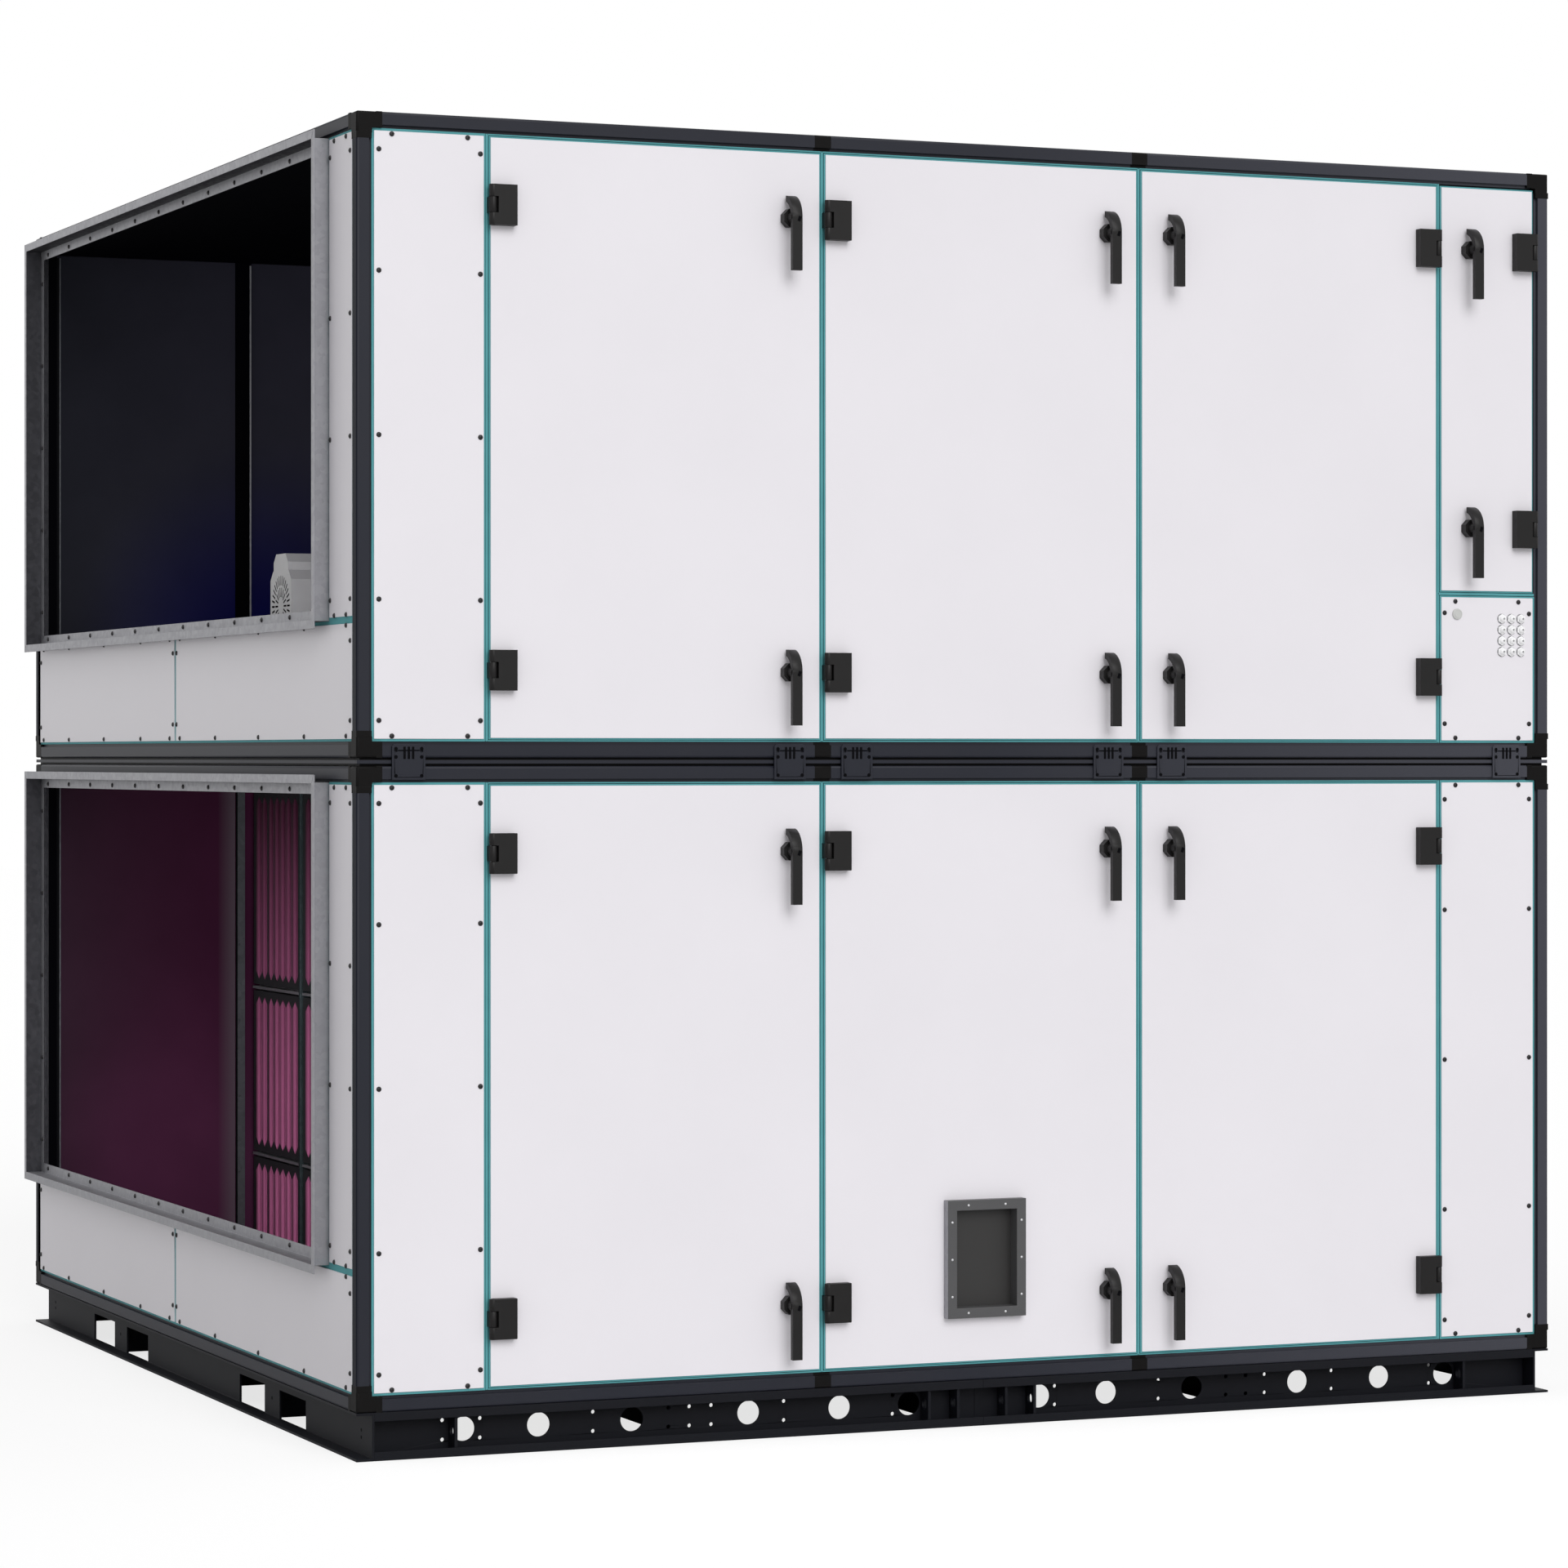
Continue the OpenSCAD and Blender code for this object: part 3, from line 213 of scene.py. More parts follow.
def coated_profile(name, tone, shine):
    """Aluminium profile with a dark satin powder coat: slow blue and grey drifts, a painted reflection that makes
    it paler towards the right end, and a fine sand grain. Real grain is 0.5 mm; it is drawn at 3 mm so that it
    shows."""
    material, tree, shader, place = new_material(name)
    drift = put(tree, "TexNoise", {"Vector": place, "Scale": grains(180), "Detail": 2.0})
    colour = put(tree, "Mix", {
        0: drift.outputs[0], 6: linear(PROFILE_BLUE), 7: linear(PROFILE_GREY),
    }, data_type="RGBA")
    along = put(tree, "SeparateXYZ", {0: place})
    # Painted reflection: the coat turns paler towards the right end
    reflection_share = put(tree, "MapRange", {0: along.outputs["X"], 1: 0.0, 2: RIGHT, 3: 0.0, 4: 0.8})
    reflected = put(tree, "Mix", {0: reflection_share.outputs[0], 6: colour.outputs[2], 7: linear(PROFILE_REFLECTION_PALE)}, data_type="RGBA")
    toned = put(tree, "VectorMath", {0: reflected.outputs[2], "Scale": tone}, operation="SCALE")
    sand = put(tree, "TexNoise", {"Vector": place, "Scale": grains(3), "Detail": 3.0})
    bump = put(tree, "Bump", {"Height": sand.outputs[0], "Strength": 0.15, "Distance": 0.1 * MM})
    wire(tree, shader, {
        "Base Color": toned.outputs[0], "Roughness": 0.48, "Normal": bump.outputs[0], "Specular IOR Level": shine,
    })
    return material


def moulded_polyamide(name, colour, roughness, shine):
    """Injection-moulded polyamide: one colour right through, with a matt spark-eroded grain.
    Real grain is about 0.3 mm; it is drawn at 1.5 mm so that it shows."""
    material, tree, shader, place = new_material(name)
    grain = put(tree, "TexNoise", {"Vector": place, "Scale": grains(1.5), "Detail": 3.0})
    flow = put(tree, "TexNoise", {"Vector": place, "Scale": grains(40), "Detail": 2.0})
    tone = put(tree, "MapRange", {0: flow.outputs[0], 3: 0.9, 4: 1.1})
    shaded = put(tree, "VectorMath", {0: linear(colour)[:3], "Scale": tone.outputs[0]}, operation="SCALE")
    bump = put(tree, "Bump", {"Height": grain.outputs[0], "Strength": 0.2, "Distance": 0.1 * MM})
    gloss = put(tree, "MapRange", {0: grain.outputs[0], 3: roughness - 0.06, 4: roughness + 0.06})
    wire(tree, shader, {
        "Base Color": shaded.outputs[0], "Roughness": gloss.outputs[0], "Normal": bump.outputs[0],
        "IOR": 1.53, "Specular IOR Level": shine,
    })
    return material


def foam_rubber(name):
    """Extruded EPDM foam seal: matt teal with a skin of closed cells, about 1 mm wide and drawn at 3 mm."""
    material, tree, shader, place = new_material(name)
    cells = put(tree, "TexVoronoi", {"Vector": place, "Scale": grains(3)})
    drift = put(tree, "TexNoise", {"Vector": place, "Scale": grains(90), "Detail": 2.0})
    colour = put(tree, "Mix", {0: drift.outputs[0], 6: linear(SEAL_DEEP), 7: linear(SEAL_TEAL)}, data_type="RGBA")
    bump = put(tree, "Bump", {"Height": cells.outputs["Distance"], "Strength": 0.15, "Distance": 0.2 * MM})
    wire(tree, shader, {
        "Base Color": colour.outputs[2], "Roughness": 0.75, "Normal": bump.outputs[0],
        "IOR": 1.52, "Specular IOR Level": 0.3,
    })
    return material


def galvanised_sheet(name, pale, dull, roughness):
    """Hot-dip galvanised steel: a dull zinc skin with a spangle of flat crystals about 12 mm wide."""
    material, tree, shader, place = new_material(name)
    spangle = put(tree, "TexVoronoi", {"Vector": place, "Scale": grains(12)})
    crystal = put(tree, "SeparateColor", {0: spangle.outputs["Color"]})
    bloom = put(tree, "TexNoise", {"Vector": place, "Scale": grains(150), "Detail": 4.0})
    blend = put(tree, "Mix", {0: 0.65, 2: crystal.outputs[0], 3: bloom.outputs[0]})
    colour = put(tree, "Mix", {0: blend.outputs[0], 6: linear(dull), 7: linear(pale)}, data_type="RGBA")
    gloss = put(tree, "MapRange", {0: crystal.outputs[1], 3: roughness - 0.07, 4: roughness + 0.07})
    wire(tree, shader, {"Base Color": colour.outputs[2], "Metallic": 0.85, "Roughness": gloss.outputs[0]})
    return material


def chassis_paint(name):
    """Black chassis paint on rolled steel: satin, with fine mill texture and dust near the ground."""
    material, tree, shader, place = new_material(name)
    height = put(tree, "SeparateXYZ", {0: place})
    low = put(tree, "MapRange", {0: height.outputs["Z"], 1: 0.0, 2: 60 * MM, 3: 1.0, 4: 0.0})
    dust = put(tree, "TexNoise", {"Vector": place, "Scale": grains(35), "Detail": 5.0})
    laid = put(tree, "Math", {0: low.outputs[0], 1: dust.outputs[0]}, operation="MULTIPLY")
    colour = put(tree, "Mix", {0: laid.outputs[0], 6: linear(BASE_BLACK), 7: linear(BASE_DUST)}, data_type="RGBA")
    mill = put(tree, "TexNoise", {"Vector": place, "Scale": grains(4), "Detail": 3.0})
    bump = put(tree, "Bump", {"Height": mill.outputs[0], "Strength": 0.15, "Distance": 0.15 * MM})
    wire(tree, shader, {
        "Base Color": colour.outputs[2], "Roughness": 0.55, "Normal": bump.outputs[0], "Specular IOR Level": 0.14,
    })
    return material


def pocket_fleece(name):
    """Synthetic filter fleece: soft pink fibre with upright streaks, turning plum towards the top as painted shade.
    Real fibres are far finer; the streaks are drawn 2 mm wide so that they show."""
    material, tree, shader, place = new_material(name)
    low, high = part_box("bag_filters")
    height = put(tree, "SeparateXYZ", {0: place})
    # Painted shade: the pink turns plum towards the upper rows
    up = put(tree, "MapRange", {0: height.outputs["Z"], 1: low.z, 2: high.z, 3: 1.0, 4: 0.0})
    stretched = put(tree, "VectorMath", {0: place, 1: (1.0, 1.0, 0.05)}, operation="MULTIPLY")
    fibre = put(tree, "TexNoise", {"Vector": stretched.outputs[0], "Scale": grains(2), "Detail": 4.0})
    share = put(tree, "Mix", {0: 0.08, 2: up.outputs[0], 3: fibre.outputs[0]})
    colour = put(tree, "Mix", {
        0: share.outputs[0], 6: linear(FLEECE_SHADE_PLUM), 7: linear(FLEECE_PINK),
    }, data_type="RGBA")
    bump = put(tree, "Bump", {"Height": fibre.outputs[0], "Strength": 0.4, "Distance": 0.5 * MM})
    wire(tree, shader, {
        "Base Color": colour.outputs[2], "Roughness": 0.95, "Normal": bump.outputs[0],
        "Sheen Weight": 0.05, "Sheen Roughness": 0.6, "Specular IOR Level": 0.05,
    })
    return material


def cast_enamel(name, grey):
    """Grey enamel on cast aluminium: slightly wavy from the casting, with dulled high spots."""
    material, tree, shader, place = new_material(name)
    cast = put(tree, "TexNoise", {"Vector": place, "Scale": grains(9), "Detail": 4.0})
    drift = put(tree, "TexNoise", {"Vector": place, "Scale": grains(70), "Detail": 2.0})
    tone = put(tree, "MapRange", {0: drift.outputs[0], 3: 0.86, 4: 1.12})
    shaded = put(tree, "VectorMath", {0: linear(grey)[:3], "Scale": tone.outputs[0]}, operation="SCALE")
    bump = put(tree, "Bump", {"Height": cast.outputs[0], "Strength": 0.25, "Distance": 0.4 * MM})
    wire(tree, shader, {"Base Color": shaded.outputs[0], "Roughness": 0.42, "Normal": bump.outputs[0]})
    return material


def plated_steel(name, colour, metallic, roughness):
    """Plated screw steel: small turned heads with a scuffed, uneven gloss."""
    material, tree, shader, place = new_material(name)
    scuff = put(tree, "TexNoise", {"Vector": place, "Scale": grains(3), "Detail": 4.0})
    tone = put(tree, "MapRange", {0: scuff.outputs[0], 3: 0.8, 4: 1.2})
    shaded = put(tree, "VectorMath", {0: linear(colour)[:3], "Scale": tone.outputs[0]}, operation="SCALE")
    gloss = put(tree, "MapRange", {0: scuff.outputs[0], 3: roughness - 0.1, 4: roughness + 0.1})
    wire(tree, shader, {"Base Color": shaded.outputs[0], "Metallic": metallic, "Roughness": gloss.outputs[0]})
    return material


panel_white = powder_coated_steel("powder_coated_steel", PANEL_PALE, PANEL_SHADE, 0.42)
port_paint = powder_coated_steel("port_powder_coat", PORT_GREY, PORT_SHADE, 0.4)
plate_paint = powder_coated_steel("plate_powder_coat", PLATE_GREY, PLATE_SHADE, 0.5)
profile_dark = coated_profile("coated_aluminium", 1.0, 0.24)
# A darker, less glossy copy of the profile coat for faces that look to the casing's ends: painted shade
end_shaded_profile = coated_profile("end_shaded_coated_aluminium", 0.9, 0.06)
cap_nylon = moulded_polyamide("black_polyamide", CAP_BLACK, 0.5, 0.06)
fitting_nylon = moulded_polyamide("fitting_polyamide", FITTING_BLACK, 0.42, 0.2)
gland_nylon = moulded_polyamide("white_polyamide", NYLON_WHITE, 0.35, 0.5)
plug_nylon = moulded_polyamide("grey_polyamide", PLUG_GREY, 0.4, 0.5)
header_plastic = moulded_polyamide("header_polystyrene", HEADER_GREY, 0.5, 0.2)
seal_foam = foam_rubber("foam_rubber")
zinc_sheet = galvanised_sheet("galvanised_sheet", ZINC_PALE, ZINC_DULL, 0.5)
collar_shade_zinc = galvanised_sheet("collar_painted_shade_sheet", COLLAR_SHADE_PALE, COLLAR_SHADE_DULL, 0.6)
post_zinc = galvanised_sheet("post_galvanised_sheet", POST_PALE, POST_DULL, 0.55)
cover_shade_zinc = galvanised_sheet("cover_painted_shade_sheet", COVER_SHADE_PALE, COVER_SHADE_DULL, 0.55)
base_paint = chassis_paint("chassis_paint")
fleece = pocket_fleece("pocket_fleece")
motor_enamel = cast_enamel("cast_enamel", MOTOR_GREY)
cowl_lit_enamel = cast_enamel("cowl_lit_enamel", COWL_LIT_GREY)
slot_painted_shade = moulded_polyamide("cowl_slot_shade", SLOT_SHADE_GREY, 0.6, 0.1)
gasket_and_hole_shade = moulded_polyamide("gasket_and_hole_shade", GASKET_AND_SHADE_GREY, 0.6, 0.2)
hole_painted_shade = moulded_polyamide("painted_hole_shade", HOLE_SHADE_BLACK, 0.7, 0.05)
screw_black = plated_steel("black_plated_steel", SCREW_BLACK, 0.3, 0.4)
screw_bright = plated_steel("zinc_plated_steel", SCREW_BRIGHT, 0.7, 0.35)
lower_skin = inner_skin(
    "lower_powder_coat", *LOWER_TONES, middle=(LEFT + 560 * MM, REAR, 420 * MM), reach=700 * MM, pale_band=0.55,
)
door_skin = inner_skin(
    "door_powder_coat", *DOOR_TONES, middle=(0.0, FRONT, 1000 * MM), reach=900 * MM, pale_band=0.0,
)
upper_skin = inner_skin(
    "upper_powder_coat", *UPPER_TONES, middle=(LEFT + 780 * MM, REAR, 2020 * MM), reach=720 * MM, pale_band=0.0,
)
roof_shade_skin = inner_skin(
    "roof_painted_shade_coat", *ROOF_SHADE_TONES, middle=(LEFT + 680 * MM, REAR, 3200 * MM), reach=520 * MM, pale_band=0.0,
)

# Depths from the outer faces at which a wall's inner side begins and a seam ends, and how edges are softened
INNER_SIDE = 30 * MM
SEAM_DEPTH = 27 * MM
WELD_GAP = 0.02 * MM
EDGE_ANGLE = math.radians(40)
# Cosines within which a face counts as facing a way, strictly or loosely
FACING = 0.7
FACING_LOOSE = 0.5


def inside_tier(point):
    """The tier whose air way this point of a wall faces, or None for the outer side."""
    if not LEFT + INNER_SIDE < point.x < RIGHT - INNER_SIDE:
        return None
    if not FRONT + INNER_SIDE < point.y < REAR - INNER_SIDE:
        return None
    for tier, (low, high) in enumerate(TIERS):
        if low + INNER_SIDE < point.z < high - INNER_SIDE:
            return tier
    return None


def dress(names, material, edge_mm=0.0, inside=None):
    """Give nodes their material and soft edges; where a wall faces an air way it gets that tier's inside."""
    for name in names:
        node = cad[name]
        node.data.materials.clear()
        for finish in [material] + list(inside or ()):
            node.data.materials.append(finish)
        for face in node.data.polygons:
            tier = inside_tier(face.center) if inside else None
            face.material_index = 0 if tier is None else 1 + tier
        if edge_mm:
            weld = node.modifiers.new("weld", "WELD")
            weld.merge_threshold = WELD_GAP
            edge = node.modifiers.new("soft_edge", "BEVEL")
            edge.width = edge_mm * MM
            edge.segments = 2
            edge.limit_method = "ANGLE"
            edge.angle_limit = EDGE_ANGLE
            edge.harden_normals = True


def dress_part(name, material, chosen):
    """Give those faces of a dressed node that the test picks a finish of their own."""
    mesh = cad[name].data
    mesh.materials.append(material)
    for face in mesh.polygons:
        if chosen(face, [mesh.vertices[i].co for i in face.vertices]):
            face.material_index = len(mesh.materials) - 1


def fronts_air_way(face, corners):
    """Whether a face of the rear half looks forwards, into the air way."""
    return face.normal.y < -FACING and face.center.y > 0


def under_or_fronts(face, corners):
    """Whether a face looks down, or forwards from the rear half."""
    return face.normal.z < -FACING or fronts_air_way(face, corners)


def faces_seam(face, corners):
    """Whether this is the outer face of a mullion, at the back of a seam."""
    out = Vector((face.center.x / RIGHT, face.center.y / REAR, 0))
    depth = min(RIGHT - abs(face.center.x), REAR - abs(face.center.y))
    return depth < SEAM_DEPTH + MM and face.normal.dot(out) > FACING_LOOSE


def on_end(face, corners):
    """Whether a face looks along the casing, to its left or right end."""
    return abs(face.normal.x) > FACING


LOWER_DOORS = ["lower_door_1", "lower_door_2", "lower_door_3"]
UPPER_DOORS = ["upper_door_1", "upper_door_2", "upper_door_3", "control_door"]
LOWER_HANDLES = [f"{door}_{end}_handle" for door in LOWER_DOORS for end in ("top", "bottom")]
SKINS = (lower_skin, upper_skin)
dress(LOWER_DOORS + UPPER_DOORS, panel_white, 1.5, (door_skin, door_skin))
dress(["front_strip_panels", "cable_entry_panel", "left_end_panels", "right_end_panels"], panel_white, 1.2, SKINS)
dress(["rear_panels", "lower_floor", "lower_ceiling", "upper_floor"], panel_white, 1.2, SKINS)
# The upper ceiling's inner side is painted shade
dress(["roof"], panel_white, 1.2, (lower_skin, roof_shade_skin))
dress(["lower_rails", "upper_rails", "frame_posts", "tier_brackets"], profile_dark, 1.0)
# Rear posts' faces that look forwards into the air way are painted shade
dress_part("frame_posts", roof_shade_skin, fronts_air_way)
# Post faces that look to the ends take the darker copy: painted shade
dress_part("frame_posts", end_shaded_profile, on_end)
# Mullions in the upper tier are painted shade
dress(["mullions"], profile_dark, 0.0, (lower_skin, roof_shade_skin))
dress_part("mullions", seal_foam, faces_seam)
dress(["corner_caps", "rail_joint_caps", "tier_spacer"], cap_nylon, 1.0)
dress(["panel_seals"] + [f"{door}_seal" for door in LOWER_DOORS], seal_foam)
# Collar faces that look down, or forwards from the rear half, get darker zinc: painted shade and painted reflection
for flange in ("left_duct_flanges", "right_duct_flanges"):
    dress([flange], zinc_sheet, 0.6)
    dress_part(flange, collar_shade_zinc, under_or_fronts)
dress(["filter_wall"], zinc_sheet)
dress(["base_long_beams", "base_end_beams", "base_cross_beams", "base_ribs", "base_gussets"], base_paint, 1.0)
dress(["upper_door_hinges", "lower_hinge_knuckles"], fitting_nylon, 2.0)
dress([f"{door}_hinges" for door in LOWER_DOORS], fitting_nylon, 2.0)
dress(["upper_door_handles"] + LOWER_HANDLES, fitting_nylon, 2.0)
dress(["door_port_flange"], port_paint, 1.0)
dress(["cable_glands"], gland_nylon, 0.6)
dress(["bag_filters"], fleece)
dress(["fan_motor", "motor_stand"], motor_enamel, 1.5)
cowl_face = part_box("fan_motor")[0].x
COWL_L = 90 * MM
SLOT_D = 25 * MM


def on_cowl(face, corners):
    """Whether a face of the motor is on the end of its fan cowl."""
    return face.normal.x < -FACING_LOOSE and max(corner.x for corner in corners) < cowl_face + COWL_L + MM


def in_slot(face, corners):
    """Whether a face lies inside a slot of the cowl, where shade is painted."""
    return face.center.x > cowl_face + MM and max(corner.x for corner in corners) < cowl_face + SLOT_D + MM


# The cowl's end, turned to the opening, gets the paler enamel: painted light
dress_part("fan_motor", cowl_lit_enamel, on_cowl)
# Faces inside the cowl's slots are painted shade
dress_part("fan_motor", slot_painted_shade, in_slot)


def make_piece(name, mesh_work, material, body="casing"):
    """Turn bmesh work into a piece that rides on a body."""
    mesh = bpy.data.meshes.new(name)
    mesh_work.to_mesh(mesh)
    mesh_work.free()
    mesh.materials.append(material)
    piece = bpy.data.objects.new(name, mesh)
    bpy.context.scene.collection.objects.link(piece)
    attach(piece, body)
    return piece


def wall_place(origin, along, up):
    """Frame for work on a wall: x along it, y up it, z out of it."""
    along, up = Vector(along), Vector(up)
    axes = Matrix((along, up, along.cross(up))).transposed().to_4x4()
    return Matrix.Translation(Vector(origin)) @ axes


FRONT_WALL = wall_place((0, FRONT, 0), (1, 0, 0), (0, 0, 1))
REAR_WALL = wall_place((0, REAR, 0), (-1, 0, 0), (0, 0, 1))
LEFT_WALL = wall_place((LEFT, 0, 0), (0, -1, 0), (0, 0, 1))
RIGHT_WALL = wall_place((RIGHT, 0, 0), (0, 1, 0), (0, 0, 1))
ROOF = wall_place((0, 0, TIERS[1][1]), (1, 0, 0), (0, 1, 0))


def turned(work, place, profile, sides):
    """Add a turned form; the profile runs from the middle of its top, as (radius, height) in millimetres."""
    rings = []
    for radius, height in profile:
        count = 1 if radius == 0 else sides
        turns = [2 * math.pi * i / sides for i in range(count)]
        rings.append([
            work.verts.new(place @ Vector((radius * math.cos(a) * MM, radius * math.sin(a) * MM, height * MM)))
            for a in turns
        ])
    for inner, outer in zip(rings, rings[1:]):
        for i in range(sides):
            j = (i + 1) % sides
            corners = [inner[i % len(inner)], outer[i % len(outer)], outer[j % len(outer)], inner[j % len(inner)]]
            work.faces.new(list(dict.fromkeys(corners)))


def at(wall, x, y, out=0.0):
    """A place on a wall, out from its face."""
    return wall @ Matrix.Translation((x, y, out))


# Screw heads, as (radius, height) from the middle of the recess outwards
PAN_HEAD = [(0, 1.6), (1.9, 1.6), (2.2, 4.0), (4.0, 3.7), (5.4, 2.7), (6.1, 1.2), (6.6, 1.0), (6.6, 0), (0, -0.3)]
SMALL_HEAD = [(0, 1.0), (1.2, 1.0), (1.5, 2.4), (3.0, 2.0), (4.0, 0.9), (4.0, 0), (0, -0.3)]
SCREW_SIDES = 10
INNER_SCREW_SIDES = 8
SCREW_PITCH = 400 * MM
CORNER_IN = 51 * MM
SIDE_IN = 18 * MM
ROW_IN = 13 * MM
JOINT_ROW_IN = 20 * MM
# The strips beside the duct openings have two inner screws, this far from their middle
END_STRIP_H = FIELDS[0][1] - FIELDS[0][0] - SILL
END_STRIP_INNER = 150 * MM


def edge_places(length):
    """Screws along a panel's edge, from its middle: one near each corner, and others a pitch apart."""
    corner = length / 2 - CORNER_IN
    if abs(length - END_STRIP_H) < MM:
        return [-corner, -END_STRIP_INNER, END_STRIP_INNER, corner]
    count = max(0, int((corner - SCREW_PITCH / 4) / SCREW_PITCH)) if length > SCREW_PITCH else -1
    inner = [i * SCREW_PITCH for i in range(-count, count + 1)] if count >= 0 else []
    return [-corner] + inner + [corner]


def panel_screw_places(x0, x1, y0, y1):
    """Screws round the edge of a panel field."""
    places = []
    top_in = JOINT_ROW_IN if y1 == CABLE_TOP else ROW_IN
    for along in edge_places(x1 - x0):
        places += [((x0 + x1) / 2 + along, y0 + ROW_IN), ((x0 + x1) / 2 + along, y1 - top_in)]
    for up in edge_places(y1 - y0):
        places += [(x0 + SIDE_IN, (y0 + y1) / 2 + up), (x1 - SIDE_IN, (y0 + y1) / 2 + up)]
    return places


def screwed_panels(name, wall, fields):
    """The pan-head screws of a wall's fixed panels, as one piece."""
    work = bmesh.new()
    for field in fields:
        for x, y in panel_screw_places(*field):
            turned(work, at(wall, x, y, -PANEL_SETBACK), PAN_HEAD, SCREW_SIDES)
    make_piece(name, work, screw_black)


left_line, front_line = LEFT + PROFILE, FRONT + PROFILE
front_fields = [(left_line, GAPS[0], *FIELDS[0]), (left_line, GAPS[0], *FIELDS[1])]
front_fields += [(GAPS[3], -left_line, *FIELDS[0]), (GAPS[3], -left_line, FIELDS[1][0], CABLE_TOP)]
screwed_panels("front_panel_screws", FRONT_WALL, front_fields)
end_fields = []
for low, high in FIELDS:
    end_fields.append((-front_line - END_STRIP, -front_line, low + SILL, high))
    end_fields.append((-SILL_SEAM, -front_line, low, low + SILL))
    end_fields.append((front_line, -SILL_SEAM, low, low + SILL))
screwed_panels("left_panel_screws", LEFT_WALL, end_fields)
screwed_panels("right_panel_screws", RIGHT_WALL, [(-x1, -x0, y0, y1) for x0, x1, y0, y1 in end_fields])
rear_fields = [(a, b, low, high) for a, b in zip(REAR_LINES, REAR_LINES[1:]) for low, high in FIELDS]
screwed_panels("rear_panel_screws", REAR_WALL, rear_fields)
roof_lines = [left_line, GAPS[1], GAPS[2], -left_line]
roof_fields = [(a, b, front_line, -front_line) for a, b in zip(roof_lines, roof_lines[1:])]
screwed_panels("roof_panel_screws", ROOF, roof_fields)


def spaced(low, high, pitch):
    """Places one pitch apart, centred between two ends."""
    count = int((high - low) / pitch)
    first = (low + high - count * pitch) / 2
    return [first + i * pitch for i in range(count + 1)]


# The duct flanges' inner legs: their middle, their depth behind the wall, and the places of their screws
LEG_MID = 19 * MM
LEG_DEPTH = 7 * MM
LEG_END_IN = 60 * MM
LEG_PITCH = 248 * MM


def flange_screws(name, wall, side):
    """Small screws along the inner legs of a wall's duct flanges, which lie just behind the wall's face."""
    y0, y1 = sorted((side * (front_line + END_STRIP), side * -front_line))
    work = bmesh.new()
    for low, high in FIELDS:
        z0, z1 = low + SILL, high
        places = []
        for y in spaced(y0 + LEG_END_IN, y1 - LEG_END_IN, LEG_PITCH):
            places += [(y, z0 + LEG_MID), (y, z1 - LEG_MID)]
        for z in spaced(z0 + LEG_END_IN, z1 - LEG_END_IN, LEG_PITCH):
            places += [(y0 + LEG_MID, z), (y1 - LEG_MID, z)]
        for y, z in places:
            turned(work, at(wall, y, z, -LEG_DEPTH), PAN_HEAD, INNER_SCREW_SIDES)
    make_piece(name, work, screw_black)


flange_screws("left_flange_screws", LEFT_WALL, -1)
flange_screws("right_flange_screws", RIGHT_WALL, 1)


def box_form(work, place, size, edge_mm):
    """Add a block with bevelled edges, its back face on the place."""
    form = bmesh.new()
    bmesh.ops.create_cube(form, size=1.0)
    bmesh.ops.scale(form, vec=size, verts=form.verts)
    bmesh.ops.translate(form, vec=(0, 0, size[2] / 2), verts=form.verts)
    bmesh.ops.bevel(form, geom=form.edges[:], offset=edge_mm * MM, segments=2, affect="EDGES", profile=0.7)
    form.transform(place)
    mesh = bpy.data.meshes.new("form")
    form.to_mesh(mesh)
    form.free()
    work.from_mesh(mesh)
    bpy.data.meshes.remove(mesh)


# The corner caps' sleeves over the ends of the profiles: a block round each profile, just proud of it
CAP_CORE = 50 * MM
CAP_REACH = 66 * MM
CAP_PROUD = 0.3 * MM
CAP_INNER = PROFILE - 1 * MM
work = bmesh.new()
for low, high in TIERS:
    corners = [(x, y, z) for x in (LEFT, RIGHT) for y in (FRONT, REAR) for z in (low, high)]
    for corner in corners:
        inward = (1 if corner[0] < 0 else -1, 1 if corner[1] < 0 else -1, 1 if corner[2] == low else -1)
        for axis in range(3):
            near = [-CAP_PROUD] * 3
            far = [CAP_INNER] * 3
            near[axis], far[axis] = CAP_CORE, CAP_REACH
            size = [b - a for a, b in zip(near, far)]
            middle = [c + i * (a + b) / 2 for c, i, a, b in zip(corner, inward, near, far)]
            box_form(work, Matrix.Translation(middle) @ Matrix.Translation((0, 0, -size[2] / 2)), size, 1.0)
make_piece("corner_cap_sleeves", work, cap_nylon)

# Foam fins on the mullions and rails, which fill the seams between the doors' own seals
FIN_HALF = 3.5 * MM
FIN_DEPTH = 7 * MM
fins = bmesh.new()
fin_t = SEAM_DEPTH - FIN_DEPTH
for low, high in FIELDS:
    for x in GAPS:
        box_form(fins, at(FRONT_WALL, x, (low + high) / 2, -SEAM_DEPTH), (2 * FIN_HALF, high - low, fin_t), 1.0)
    for x0, x1 in zip(GAPS, GAPS[1:]):
        for z in (low + FIN_HALF / 2, high - FIN_HALF / 2):
            box_form(fins, at(FRONT_WALL, (x0 + x1) / 2, z, -SEAM_DEPTH), (x1 - x0, FIN_HALF, fin_t), 1.0)
cable_fin = (-left_line - GAPS[3], 2 * FIN_HALF, fin_t)
box_form(fins, at(FRONT_WALL, (GAPS[3] - left_line) / 2, CABLE_TOP, -SEAM_DEPTH), cable_fin, 1.0)
make_piece("seam_fins", fins, seal_foam)

